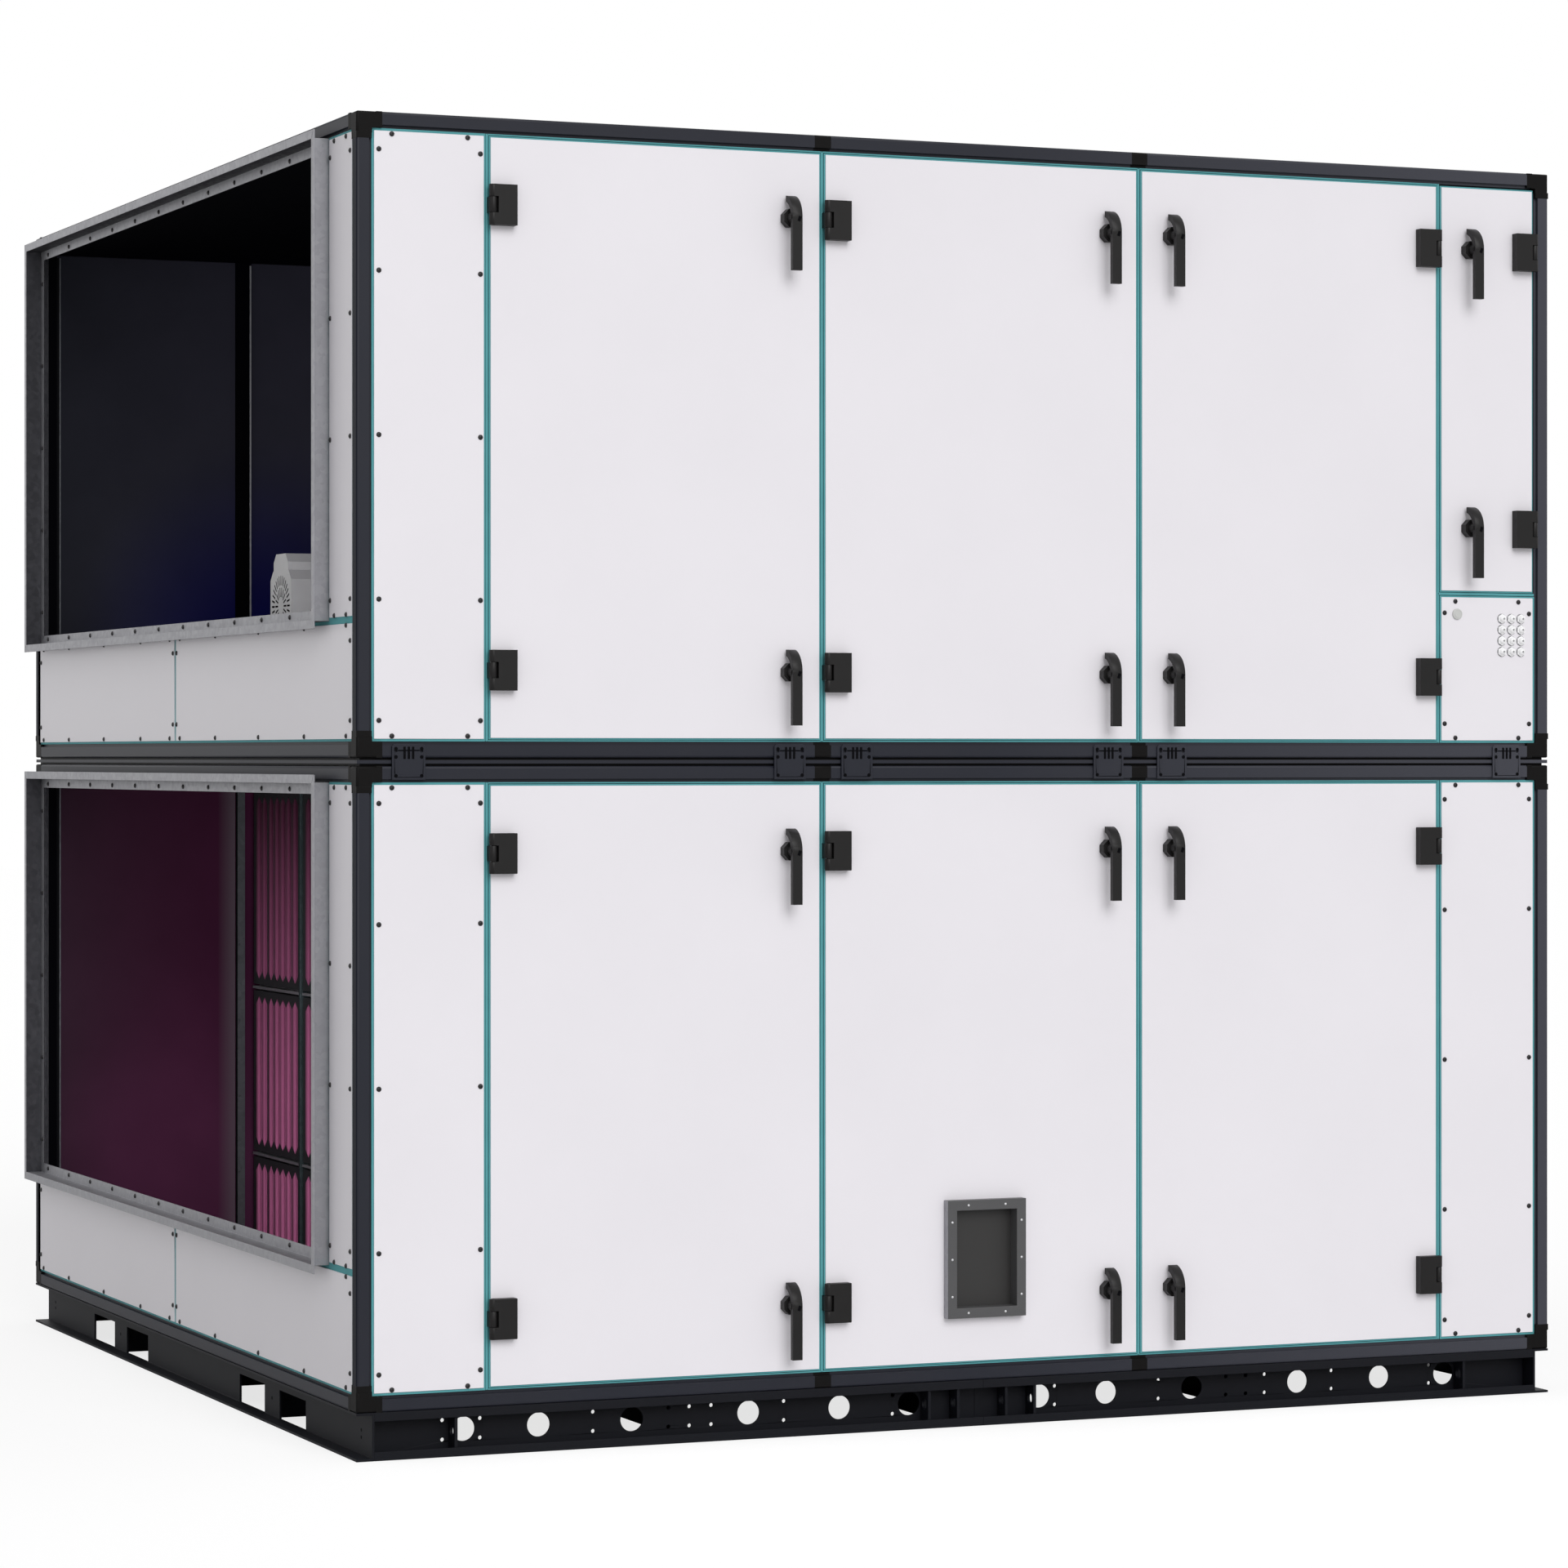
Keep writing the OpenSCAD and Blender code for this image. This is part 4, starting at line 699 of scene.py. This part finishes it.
# A strip along the spacer between the tiers, which leaves a dark line above and below it
spacer_low, spacer_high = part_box("tier_spacer")
SPACER_IN = spacer_low.y - FRONT
STRIP_IN = 1.5 * MM
STRIP_H = 9 * MM
spacer_mid = (spacer_low.z + spacer_high.z) / 2
strips = bmesh.new()
strip_runs = [(wall, RIGHT - STRIP_IN) for wall in (FRONT_WALL, REAR_WALL)]
strip_runs += [(wall, REAR - SPACER_IN) for wall in (LEFT_WALL, RIGHT_WALL)]
for wall, half in strip_runs:
    box_form(strips, at(wall, 0, spacer_mid, -SPACER_IN), (2 * half, STRIP_H, SPACER_IN - STRIP_IN), 0.8)
make_piece("tier_strips", strips, profile_dark)

# Slots and screw holes of the brackets that tie the tiers, drawn in black as painted shade
BRACKET_IN = 92 * MM
BRACKET_SLOT = (6 * MM, 30 * MM, 0.8 * MM)
BRACKET_SLOT_PITCH = 11 * MM
BRACKET_SLOT_DOWN = 22 * MM
BRACKET_SLOT_SUNK = 0.2 * MM
BRACKET_HOLE_OUT = 33 * MM
BRACKET_HOLES_DOWN = (12 * MM, 32 * MM)
BRACKET_HOLE_UP = 10 * MM
HOLE_DISC = [(0, 0.2), (3.4, 0.2), (4.2, 0.5), (4.8, 0), (0, -0.2)]
bracket_low, bracket_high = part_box("tier_brackets")
bracket_xs = [left_line + BRACKET_IN, GAPS[1] - BRACKET_IN, GAPS[1] + BRACKET_IN]
bracket_xs += [-x for x in bracket_xs]
bracket_face = bracket_high.y - REAR
slot_z = bracket_high.z - BRACKET_SLOT_DOWN
bracket_hole_zs = [bracket_high.z - down for down in BRACKET_HOLES_DOWN] + [bracket_low.z + BRACKET_HOLE_UP]
bracket_slots = bmesh.new()
for wall in (FRONT_WALL, REAR_WALL):
    for x in bracket_xs:
        for across in (-BRACKET_SLOT_PITCH, 0, BRACKET_SLOT_PITCH):
            slot_place = at(wall, x + across, slot_z, bracket_face - BRACKET_SLOT_SUNK)
            box_form(bracket_slots, slot_place, BRACKET_SLOT, 0.3)
        for across in (-BRACKET_HOLE_OUT, BRACKET_HOLE_OUT):
            for z in bracket_hole_zs:
                turned(bracket_slots, at(wall, x + across, z, bracket_face), HOLE_DISC, SCREW_SIDES)
make_piece("bracket_slots", bracket_slots, hole_painted_shade)

# Bolt holes through the base's end webs, in pairs at the corners and one between each pair of fork pockets, drawn
# in black as painted shade
WEB_IN = 40 * MM
FORK_HOLE_Y, FORK_HOLE_Z = 751 * MM, 52 * MM
CORNER_HOLE_Y, CORNER_HOLES_Z = 1505 * MM, (48 * MM, 66 * MM)
base_holes = bmesh.new()
for wall in (LEFT_WALL, RIGHT_WALL):
    for y in (-FORK_HOLE_Y, FORK_HOLE_Y):
        turned(base_holes, at(wall, y, FORK_HOLE_Z, -WEB_IN), HOLE_DISC, SCREW_SIDES)
    for y in (-CORNER_HOLE_Y, CORNER_HOLE_Y):
        for z in CORNER_HOLES_Z:
            turned(base_holes, at(wall, y, z, -WEB_IN), HOLE_DISC, SCREW_SIDES)
make_piece("base_bolt_holes", base_holes, hole_painted_shade)

# The port of the middle door: bare outer edges on its flange, a back plate and ten screws
PORT_RIM = 26 * MM
PORT_DEPTH = 38 * MM
PORT_PLATE_T = 3 * MM
PORT_SCREW_ACROSS = 52 * MM
PORT_SCREW_UP = 95 * MM
PORT_HEAD = [(0, 0.8), (0.9, 0.8), (1.1, 1.9), (2.2, 1.6), (3.1, 0.7), (3.1, 0), (0, -0.3)]
port_low, port_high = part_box("door_port_flange")


def port_outer_edge(face, corners):
    """Whether a face is on one of the flange's two upright outer edges."""
    return on_end(face, corners) and not port_low.x + MM < face.center.x < port_high.x - MM


dress_part("door_port_flange", zinc_sheet, port_outer_edge)
port_out = FRONT - port_low.y
port_rim_mid = PORT_RIM / 2
port_screws = bmesh.new()
port_x0, port_x1 = port_low.x + port_rim_mid, port_high.x - port_rim_mid
port_z0, port_z1 = port_low.z + port_rim_mid, port_high.z - port_rim_mid
port_mid_x, port_mid_z = (port_x0 + port_x1) / 2, (port_z0 + port_z1) / 2
port_places = []
for across in (-PORT_SCREW_ACROSS, PORT_SCREW_ACROSS):
    port_places += [(port_mid_x + across, z) for z in (port_z0, port_z1)]
for up in (-PORT_SCREW_UP, 0, PORT_SCREW_UP):
    port_places += [(x, port_mid_z + up) for x in (port_x0, port_x1)]
for x, z in port_places:
    turned(port_screws, at(FRONT_WALL, x, z, port_out), PORT_HEAD, SCREW_SIDES)
make_piece("port_screws", port_screws, screw_bright, "lower_door_2")
port_plate = bmesh.new()
plate_w = port_high.x - port_low.x - 2 * PORT_RIM + MM
plate_h = port_high.z - port_low.z - 2 * PORT_RIM + MM
plate_place = at(FRONT_WALL, port_mid_x, port_mid_z, port_out - PORT_DEPTH - PORT_PLATE_T)
box_form(port_plate, plate_place, (plate_w, plate_h, PORT_PLATE_T), 0.4)
make_piece("port_back_plate", port_plate, plate_paint, "lower_door_2")

# Key slots on the levers, drawn in black as painted shade
KEY_SLOT = (8 * MM, 13 * MM, 1.0 * MM)
KEY_SLOT_SIDE = 5 * MM
KEY_SLOT_DOWN = 4 * MM
KEY_SLOT_SUNK = 0.3 * MM
KEY_SLOT_TURN = math.radians(-20)
# Places of the levers: their spindle under their top and over their tip, and beside a seam
LEVER_UP = 58 * MM
LEVER_TIP = 134 * MM
HANDLE_IN = 92 * MM
CONTROL_LEVER_UP = 175 * MM


def lever_slot(work, x, z, face_y):
    """The sunk key slot on a lever, beside its spindle, in black as painted shade."""
    place = at(FRONT_WALL, x + KEY_SLOT_SIDE, z - KEY_SLOT_DOWN, FRONT - face_y - KEY_SLOT_SUNK)
    box_form(work, place @ Matrix.Rotation(KEY_SLOT_TURN, 4, "Z"), KEY_SLOT, 0.4)


for name in LOWER_HANDLES:
    handle_low, handle_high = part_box(name)
    work = bmesh.new()
    lever_slot(work, (handle_low.x + handle_high.x) / 2, handle_low.z + LEVER_TIP, handle_low.y)
    make_piece(f"{name}_slot", work, hole_painted_shade, name)
upper_low, upper_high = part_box("upper_door_handles")
work = bmesh.new()
latch_lines = [GAPS[1] - HANDLE_IN, GAPS[2] - HANDLE_IN, GAPS[2] + HANDLE_IN]
lever_places = [(x, z) for x in latch_lines for z in (upper_low.z + LEVER_TIP, upper_high.z - LEVER_UP)]
lever_places += [(GAPS[3] + HANDLE_IN, z) for z in (CABLE_TOP + CONTROL_LEVER_UP, upper_high.z - LEVER_UP)]
for x, z in lever_places:
    lever_slot(work, x, z, upper_low.y)
make_piece("upper_handle_slots", work, hole_painted_shade)

# Bag filters: moulded headers with pointed mouths, and soft pockets that hang limp without an air stream
FILTER_COLUMNS = 6
POCKETS = 7
FILTER_SPACE = 20 * MM
HEADER_RIM = 18 * MM
HEADER_SIDE = 28 * MM
HEADER_T = 25 * MM
MOUTH_POINT = 22 * MM
# Width of each web between the mouths, across one header
WEBS = [w * MM for w in (6, 14, 5, 5, 14, 22, 8, 6)]
ROW_HEIGHTS = (287 * MM, 490 * MM, 592 * MM)
# Along a pocket, as shares of its depth: how far its sheets stand apart, as a share of its mouth
POCKET_RUN = (
    (0.0, 1.0), (0.006, 0.6), (0.012, 0.08), (0.15, 0.5), (0.4, 0.85), (0.7, 0.7), (0.9, 0.35), (1.0, 0.0),
)
POCKET_STEP = 45 * MM
POCKET_PROUD = 0.5 * MM
SHEET_OFF = 0.6 * MM
FLEECE_T = 2 * MM
filter_low, filter_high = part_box("bag_filters")
filter_w = (filter_high.y - filter_low.y - (FILTER_COLUMNS - 1) * FILTER_SPACE) / FILTER_COLUMNS
pocket_pitch = (filter_w - 2 * HEADER_SIDE) / POCKETS
header_face = filter_low.x
pocket_tip = filter_high.x


def mouth_share(up, height):
    """How far a pocket mouth is open at a height, from 0 at its pointed ends to 1."""
    return min(1.0, up / MOUTH_POINT, (height - up) / MOUTH_POINT)


def pocket_heights(height):
    """Heights of the rows of points on a pocket: close at the pointed ends, even between them."""
    steps = max(4, round(height / POCKET_STEP))
    middle = [MOUTH_POINT + (height - 2 * MOUTH_POINT) * i / steps for i in range(steps + 1)]
    return [0.0, MOUTH_POINT / 2] + middle + [height - MOUTH_POINT / 2, height]


def mouth_sides(middle_y, i):
    """Both sides of a header's mouth, between its webs."""
    left = middle_y + (i - POCKETS / 2) * pocket_pitch
    return left + WEBS[i] / 2, left + pocket_pitch - WEBS[i + 1] / 2


def soft_pocket(work, sides, low_z, height):
    """One limp pocket: two sheets that fall together behind a pointed mouth and swell again before a sewn tip."""
    depth = pocket_tip - header_face
    middle, half_mouth = (sides[0] + sides[1]) / 2, (sides[1] - sides[0]) / 2
    for side in (-1, 1):
        grid = []
        for run, share in POCKET_RUN:
            row = []
            x = header_face - POCKET_PROUD + run * depth
            for up in pocket_heights(height):
                half = half_mouth * share * mouth_share(up, height) + SHEET_OFF
                row.append(work.verts.new((x, middle + side * half, low_z + up)))
            grid.append(row)
        for near, far in zip(grid, grid[1:]):
            for a, b, c, d in zip(near, near[1:], far[1:], far):
                work.faces.new((a, b, c, d) if side > 0 else (d, c, b, a))


def header_frame(work, middle_y, low_z, height):
    """The header of one filter: a plate with a pointed mouth for each pocket, as deep as its rim."""
    mouth_low, mouth_high = low_z + HEADER_RIM, low_z + height - HEADER_RIM
    front, back = header_face, header_face + HEADER_T
    rim_y = [middle_y - filter_w / 2, middle_y + filter_w / 2]

    def plate(outline):
        """Extrude an outline of (y, z) points through the header."""
        faces = []
        for x in (front, back):
            faces.append(work.faces.new([work.verts.new((x, y, z)) for y, z in outline]))
        for i in range(len(outline)):
            a, b = faces[0].verts[i], faces[0].verts[(i + 1) % len(outline)]
            c, d = faces[1].verts[(i + 1) % len(outline)], faces[1].verts[i]
            work.faces.new((a, d, c, b))
        faces[0].normal_flip()

    for i in range(POCKETS):
        left = middle_y + (i - POCKETS / 2) * pocket_pitch
        right = left + pocket_pitch
        mouth_left, mouth_right = mouth_sides(middle_y, i)
        tip = (mouth_left + mouth_right) / 2
        for edge, point, side in ((low_z, mouth_low, 1), (low_z + height, mouth_high, -1)):
            shoulder = point + side * MOUTH_POINT
            outline = [(left, edge), (right, edge), (right, shoulder), (mouth_right, shoulder),
                       (tip, point), (mouth_left, shoulder), (left, shoulder)]
            plate(outline if side > 0 else outline[::-1])
        for y0, y1 in ((left, mouth_left), (mouth_right, right)):
            plate([(y0, mouth_low + MOUTH_POINT), (y1, mouth_low + MOUTH_POINT),
                   (y1, mouth_high - MOUTH_POINT), (y0, mouth_high - MOUTH_POINT)])
    for y0, y1 in ((rim_y[0], rim_y[0] + HEADER_SIDE), (rim_y[1] - HEADER_SIDE, rim_y[1])):
        plate([(y0, low_z), (y1, low_z), (y1, low_z + height), (y0, low_z + height)])


media = bmesh.new()
headers = bmesh.new()
column_middles = [filter_low.y + filter_w / 2 + i * (filter_w + FILTER_SPACE) for i in range(FILTER_COLUMNS)]
row_lows = [filter_low.z + sum(ROW_HEIGHTS[:i]) + i * FILTER_SPACE for i in range(len(ROW_HEIGHTS))]
for low, height in zip(row_lows, ROW_HEIGHTS):
    for middle in column_middles:
        header_frame(headers, middle, low, height)
        for i in range(POCKETS):
            soft_pocket(media, mouth_sides(middle, i), low + HEADER_RIM, height - 2 * HEADER_RIM)
bags = make_piece("filter_pockets", media, fleece)
bags.data.polygons.foreach_set("use_smooth", [True] * len(bags.data.polygons))
thick = bags.modifiers.new("fleece", "SOLIDIFY")
thick.thickness = FLEECE_T
thick.offset = 0.0
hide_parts("bag_filters")
make_piece("filter_headers", headers, header_plastic)

# Slim posts and rails on the filter wall, between the headers
FILTER_WALL = wall_place((header_face + HEADER_T, 0, 0), (0, -1, 0), (0, 0, 1))
POST_W, POST_PROUD = 14 * MM, 8 * MM
RAIL_H, RAIL_PROUD = 8 * MM, 3 * MM
posts = bmesh.new()
bank_mid, bank_h = (filter_low.z + filter_high.z) / 2, filter_high.z - filter_low.z
for middle in column_middles[:-1]:
    y = middle + (filter_w + FILTER_SPACE) / 2
    box_form(posts, at(FILTER_WALL, -y, bank_mid), (POST_W, bank_h, HEADER_T + POST_PROUD), 1.5)
make_piece("filter_posts", posts, post_zinc)
rails = bmesh.new()
for low in row_lows[1:]:
    for middle in column_middles:
        rail_place = at(FILTER_WALL, -middle, low - FILTER_SPACE / 2)
        box_form(rails, rail_place, (filter_w, RAIL_H, HEADER_T + RAIL_PROUD), 1.0)
make_piece("filter_rails", rails, zinc_sheet)

# Cover strips on the seams and edges of the rear wall's inner side, with screws in the lower tier; the strips and
# screws are a darker zinc as painted shade
REAR_SKIN = 52 * MM
COVER_FLANGE = 6 * MM
COVER_ENDS = 40 * MM
COVER_SUNK = 0.2 * MM
COVER_SCREW_PITCH = 232 * MM
COVER_SCREW_X = -14 * MM
COVER_SCREW_OUT = COVER_FLANGE + 2 * MM
# Strips over a seam, as (place beside the seam, width, height), in the lower tier and the upper: a black painted
# shadow line, the covers, and a painted highlight
SEAM_SHADOW_LINE = (-22 * MM, 6 * MM, 0.6 * MM)
SEAM_COVERS = ((-11 * MM, 16 * MM, 2 * MM), (0.5 * MM, 7 * MM, 2.5 * MM))
# A pale strip beside each seam in the upper tier: painted highlight
SEAM_HIGHLIGHT = (22 * MM, 5 * MM, 1.5 * MM)
# Strips at an end of the wall, as (distance from the casing's end, width, height): a black painted shadow line and
# a cover
END_SHADOW_LINE = (56 * MM, 8 * MM, 1 * MM)
END_COVER = (62 * MM, 4 * MM, 1.5 * MM)
INNER_REAR = wall_place((0, REAR - REAR_SKIN, 0), (1, 0, 0), (0, 0, 1))
covers = bmesh.new()
cover_highlights = bmesh.new()
cover_screws = bmesh.new()
cover_shadow_lines = bmesh.new()


def cover_strip(work, tier, x, width, depth, out):
    """Add a strip up a tier's rear wall, on the wall or on its cover flange."""
    low, high = FIELDS[tier]
    place = at(INNER_REAR, x, (low + high) / 2, depth - COVER_SUNK)
    box_form(work, place, (width, high - low - COVER_ENDS, out + COVER_SUNK), 0.3)


screw_zs = spaced(FIELDS[0][0] + COVER_ENDS, FIELDS[0][1] - COVER_ENDS, COVER_SCREW_PITCH)
seam_strips = [(cover_shadow_lines, 0, SEAM_SHADOW_LINE), (cover_highlights, 1, SEAM_HIGHLIGHT)]
seam_strips += [(covers, 0, strip) for strip in SEAM_COVERS]
for x in REAR_LINES[1:-1]:
    for work, tier, (beside, width, out) in seam_strips:
        cover_strip(work, tier, x + beside, width, COVER_FLANGE, out)
    for z in screw_zs:
        screw_place = at(INNER_REAR, x + COVER_SCREW_X, z, COVER_SCREW_OUT)
        turned(cover_screws, screw_place, SMALL_HEAD, INNER_SCREW_SIDES)
for side in (-1, 1):
    for tier in (0, 1):
        for work, (end_in, width, out) in ((cover_shadow_lines, END_SHADOW_LINE), (covers, END_COVER)):
            cover_strip(work, tier, side * (RIGHT - end_in), width, 0, out)
# Black strips beside the covers and at the wall's ends: painted shadow lines
make_piece("wall_cover_shadow_lines", cover_shadow_lines, hole_painted_shade)
make_piece("wall_covers", covers, cover_shade_zinc)
make_piece("wall_cover_highlights", cover_highlights, zinc_sheet)
make_piece("wall_cover_screws", cover_screws, cover_shade_zinc)

# Grey blanking plug and clamping rings over the white glands; the rings are darkened as a painted shaded outline,
# and a grey disc on each gland's top is painted shade in its cable hole
PLUG_FORM = [
    (0, 5.4), (9.0, 5.4), (9.6, 4.6), (10.4, 4.6), (11.0, 5.2), (13.4, 4.8), (14.6, 3.4), (14.8, 0), (0, -0.3),
]
GASKET_RING = [(10.5, 1.2), (12.6, 1.2), (13.4, 0.6), (13.6, 0), (10.5, 0), (10.5, 1.2)]
GLAND_HOLE_SHADE = [(0, 14.3), (2.2, 14.3), (2.6, 14.1), (2.6, 13.0), (0, 13.0)]
PLUG_SIDES, RING_SIDES, CORE_SIDES = 32, 24, 16
PLUG_IN, PLUG_DOWN = 14 * MM, 54 * MM
GLAND_COLUMNS, GLAND_ROWS = 3, 4
GLAND_IN, GLAND_DOWN = 44 * MM, 65 * MM
GLAND_PITCH = 29.5 * MM
plug = bmesh.new()
plug_place = at(FRONT_WALL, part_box("cable_glands")[0].x + PLUG_IN, CABLE_TOP - PLUG_DOWN, -PANEL_SETBACK)
turned(plug, plug_place, PLUG_FORM, PLUG_SIDES)
make_piece("blanking_plug", plug, plug_nylon)
gaskets = bmesh.new()
cable_hole_shades = bmesh.new()
for i in range(GLAND_COLUMNS):
    for j in range(GLAND_ROWS):
        x, z = -left_line - GLAND_IN - i * GLAND_PITCH, CABLE_TOP - GLAND_DOWN - j * GLAND_PITCH
        gland_place = at(FRONT_WALL, x, z, -PANEL_SETBACK)
        turned(gaskets, gland_place, GASKET_RING, RING_SIDES)
        # A grey disc on each dome's top stands for the shade in its cable hole: painted shade
        turned(cable_hole_shades, gland_place, GLAND_HOLE_SHADE, CORE_SIDES)
make_piece("gland_gaskets", gaskets, gasket_and_hole_shade)
make_piece("gland_hole_shades", cable_hole_shades, gasket_and_hole_shade)

# Floor and white surroundings
FLOOR_REACH = 60.0
FLOOR_DROP = 0.2 * MM
FLOOR_GLOW = 0.76
floor_mesh = bpy.data.meshes.new("floor")
floor_corners = [(FLOOR_REACH * x, FLOOR_REACH * y, 0) for x, y in ((-1, -1), (1, -1), (1, 1), (-1, 1))]
floor_mesh.from_pydata(floor_corners, [], [(0, 1, 2, 3)])
floor = bpy.data.objects.new("floor", floor_mesh)
floor.location.z = -FLOOR_DROP
bpy.context.scene.collection.objects.link(floor)
studio_floor = bpy.data.materials.new("studio_floor")
studio_floor.use_nodes = True
tree = studio_floor.node_tree
tree.nodes.clear()
rays = put(tree, "LightPath", {})
speck = put(tree, "TexNoise", {"Scale": 3.0, "Detail": 2.0})
tone = put(tree, "MapRange", {0: speck.outputs[0], 3: 0.78, 4: 0.82})
matt = put(tree, "BsdfDiffuse", {"Color": tone.outputs[0]})
catcher = put(tree, "BsdfDiffuse", {"Color": linear(FLOOR_GREY)})
glow = put(tree, "Emission", {"Strength": FLOOR_GLOW})
seen = put(tree, "AddShader", {0: catcher.outputs[0], 1: glow.outputs[0]})
mixed = put(tree, "MixShader", {0: rays.outputs["Is Camera Ray"], 1: matt.outputs[0], 2: seen.outputs[0]})
put(tree, "OutputMaterial", {"Surface": mixed.outputs[0]})
floor_mesh.materials.append(studio_floor)

AMBIENT = 0.51
SUN = 1.66
SUN_ANGLE = math.radians(40)
SUN_FROM = Vector((-0.03, -0.85, 0.5))
world = bpy.data.worlds.new("studio")
world.use_nodes = True
bpy.context.scene.world = world
tree = world.node_tree
rays = put(tree, "LightPath", {})
shown = put(tree, "Math", {0: rays.outputs["Is Camera Ray"], 1: rays.outputs["Is Glossy Ray"]}, operation="MAXIMUM")
shown = put(tree, "Math", {0: shown.outputs[0], 1: rays.outputs["Is Transmission Ray"]}, operation="MAXIMUM")
level = put(tree, "MapRange", {0: shown.outputs[0], 3: AMBIENT, 4: 1.0})
wire(tree, tree.nodes["Background"], {"Color": (1.0, 1.0, 1.0, 1.0), "Strength": level.outputs[0]})

sun = bpy.data.lights.new("softbox", "SUN")
sun.energy = SUN
sun.angle = SUN_ANGLE
sun_object = bpy.data.objects.new("softbox", sun)
sun_object.rotation_euler = SUN_FROM.to_track_quat("Z", "Y").to_euler()
bpy.context.scene.collection.objects.link(sun_object)

# A lamp inside each tier, behind its front wall, so that the colours in the air ways show as they are written
TIER_LAMPS = (3.4, 2.2)
LAMP_W, LAMP_H = 0.3, 1.2
LAMP_SPREAD = math.radians(60)
LAMP_IN = 0.2
LAMP_BACK = 0.1
FACING_REAR = (math.radians(90), 0, 0)
for tier, (low, high) in enumerate(FIELDS):
    lamp = bpy.data.lights.new(f"tier_lamp_{tier}", "AREA")
    lamp.shape = "RECTANGLE"
    lamp.size = LAMP_W
    lamp.size_y = LAMP_H
    lamp.spread = LAMP_SPREAD
    lamp.energy = TIER_LAMPS[tier]
    lamp_object = bpy.data.objects.new(lamp.name, lamp)
    lamp_object.location = (LEFT + LAMP_IN, FRONT + LAMP_BACK, (low + high) / 2)
    lamp_object.rotation_euler = FACING_REAR
    lamp_object.visible_camera = False
    bpy.context.scene.collection.objects.link(lamp_object)

# Camera, fitted to the casing's edges in the photograph
CAMERA_PLACE = (-5.2673, -12.8130, 1.7121)
CAMERA_TURN = (math.radians(90), 0, math.radians(-22.782))
camera = bpy.data.cameras.new("camera")
camera.sensor_width = 36.0
camera.lens = 111.04
camera.shift_y = -0.01725
camera.clip_end = 200.0
camera_object = bpy.data.objects.new("camera", camera)
camera_object.location = CAMERA_PLACE
camera_object.rotation_euler = CAMERA_TURN
bpy.context.scene.collection.objects.link(camera_object)
bpy.context.scene.camera = camera_object

bpy.context.scene.view_settings.view_transform = "Standard"
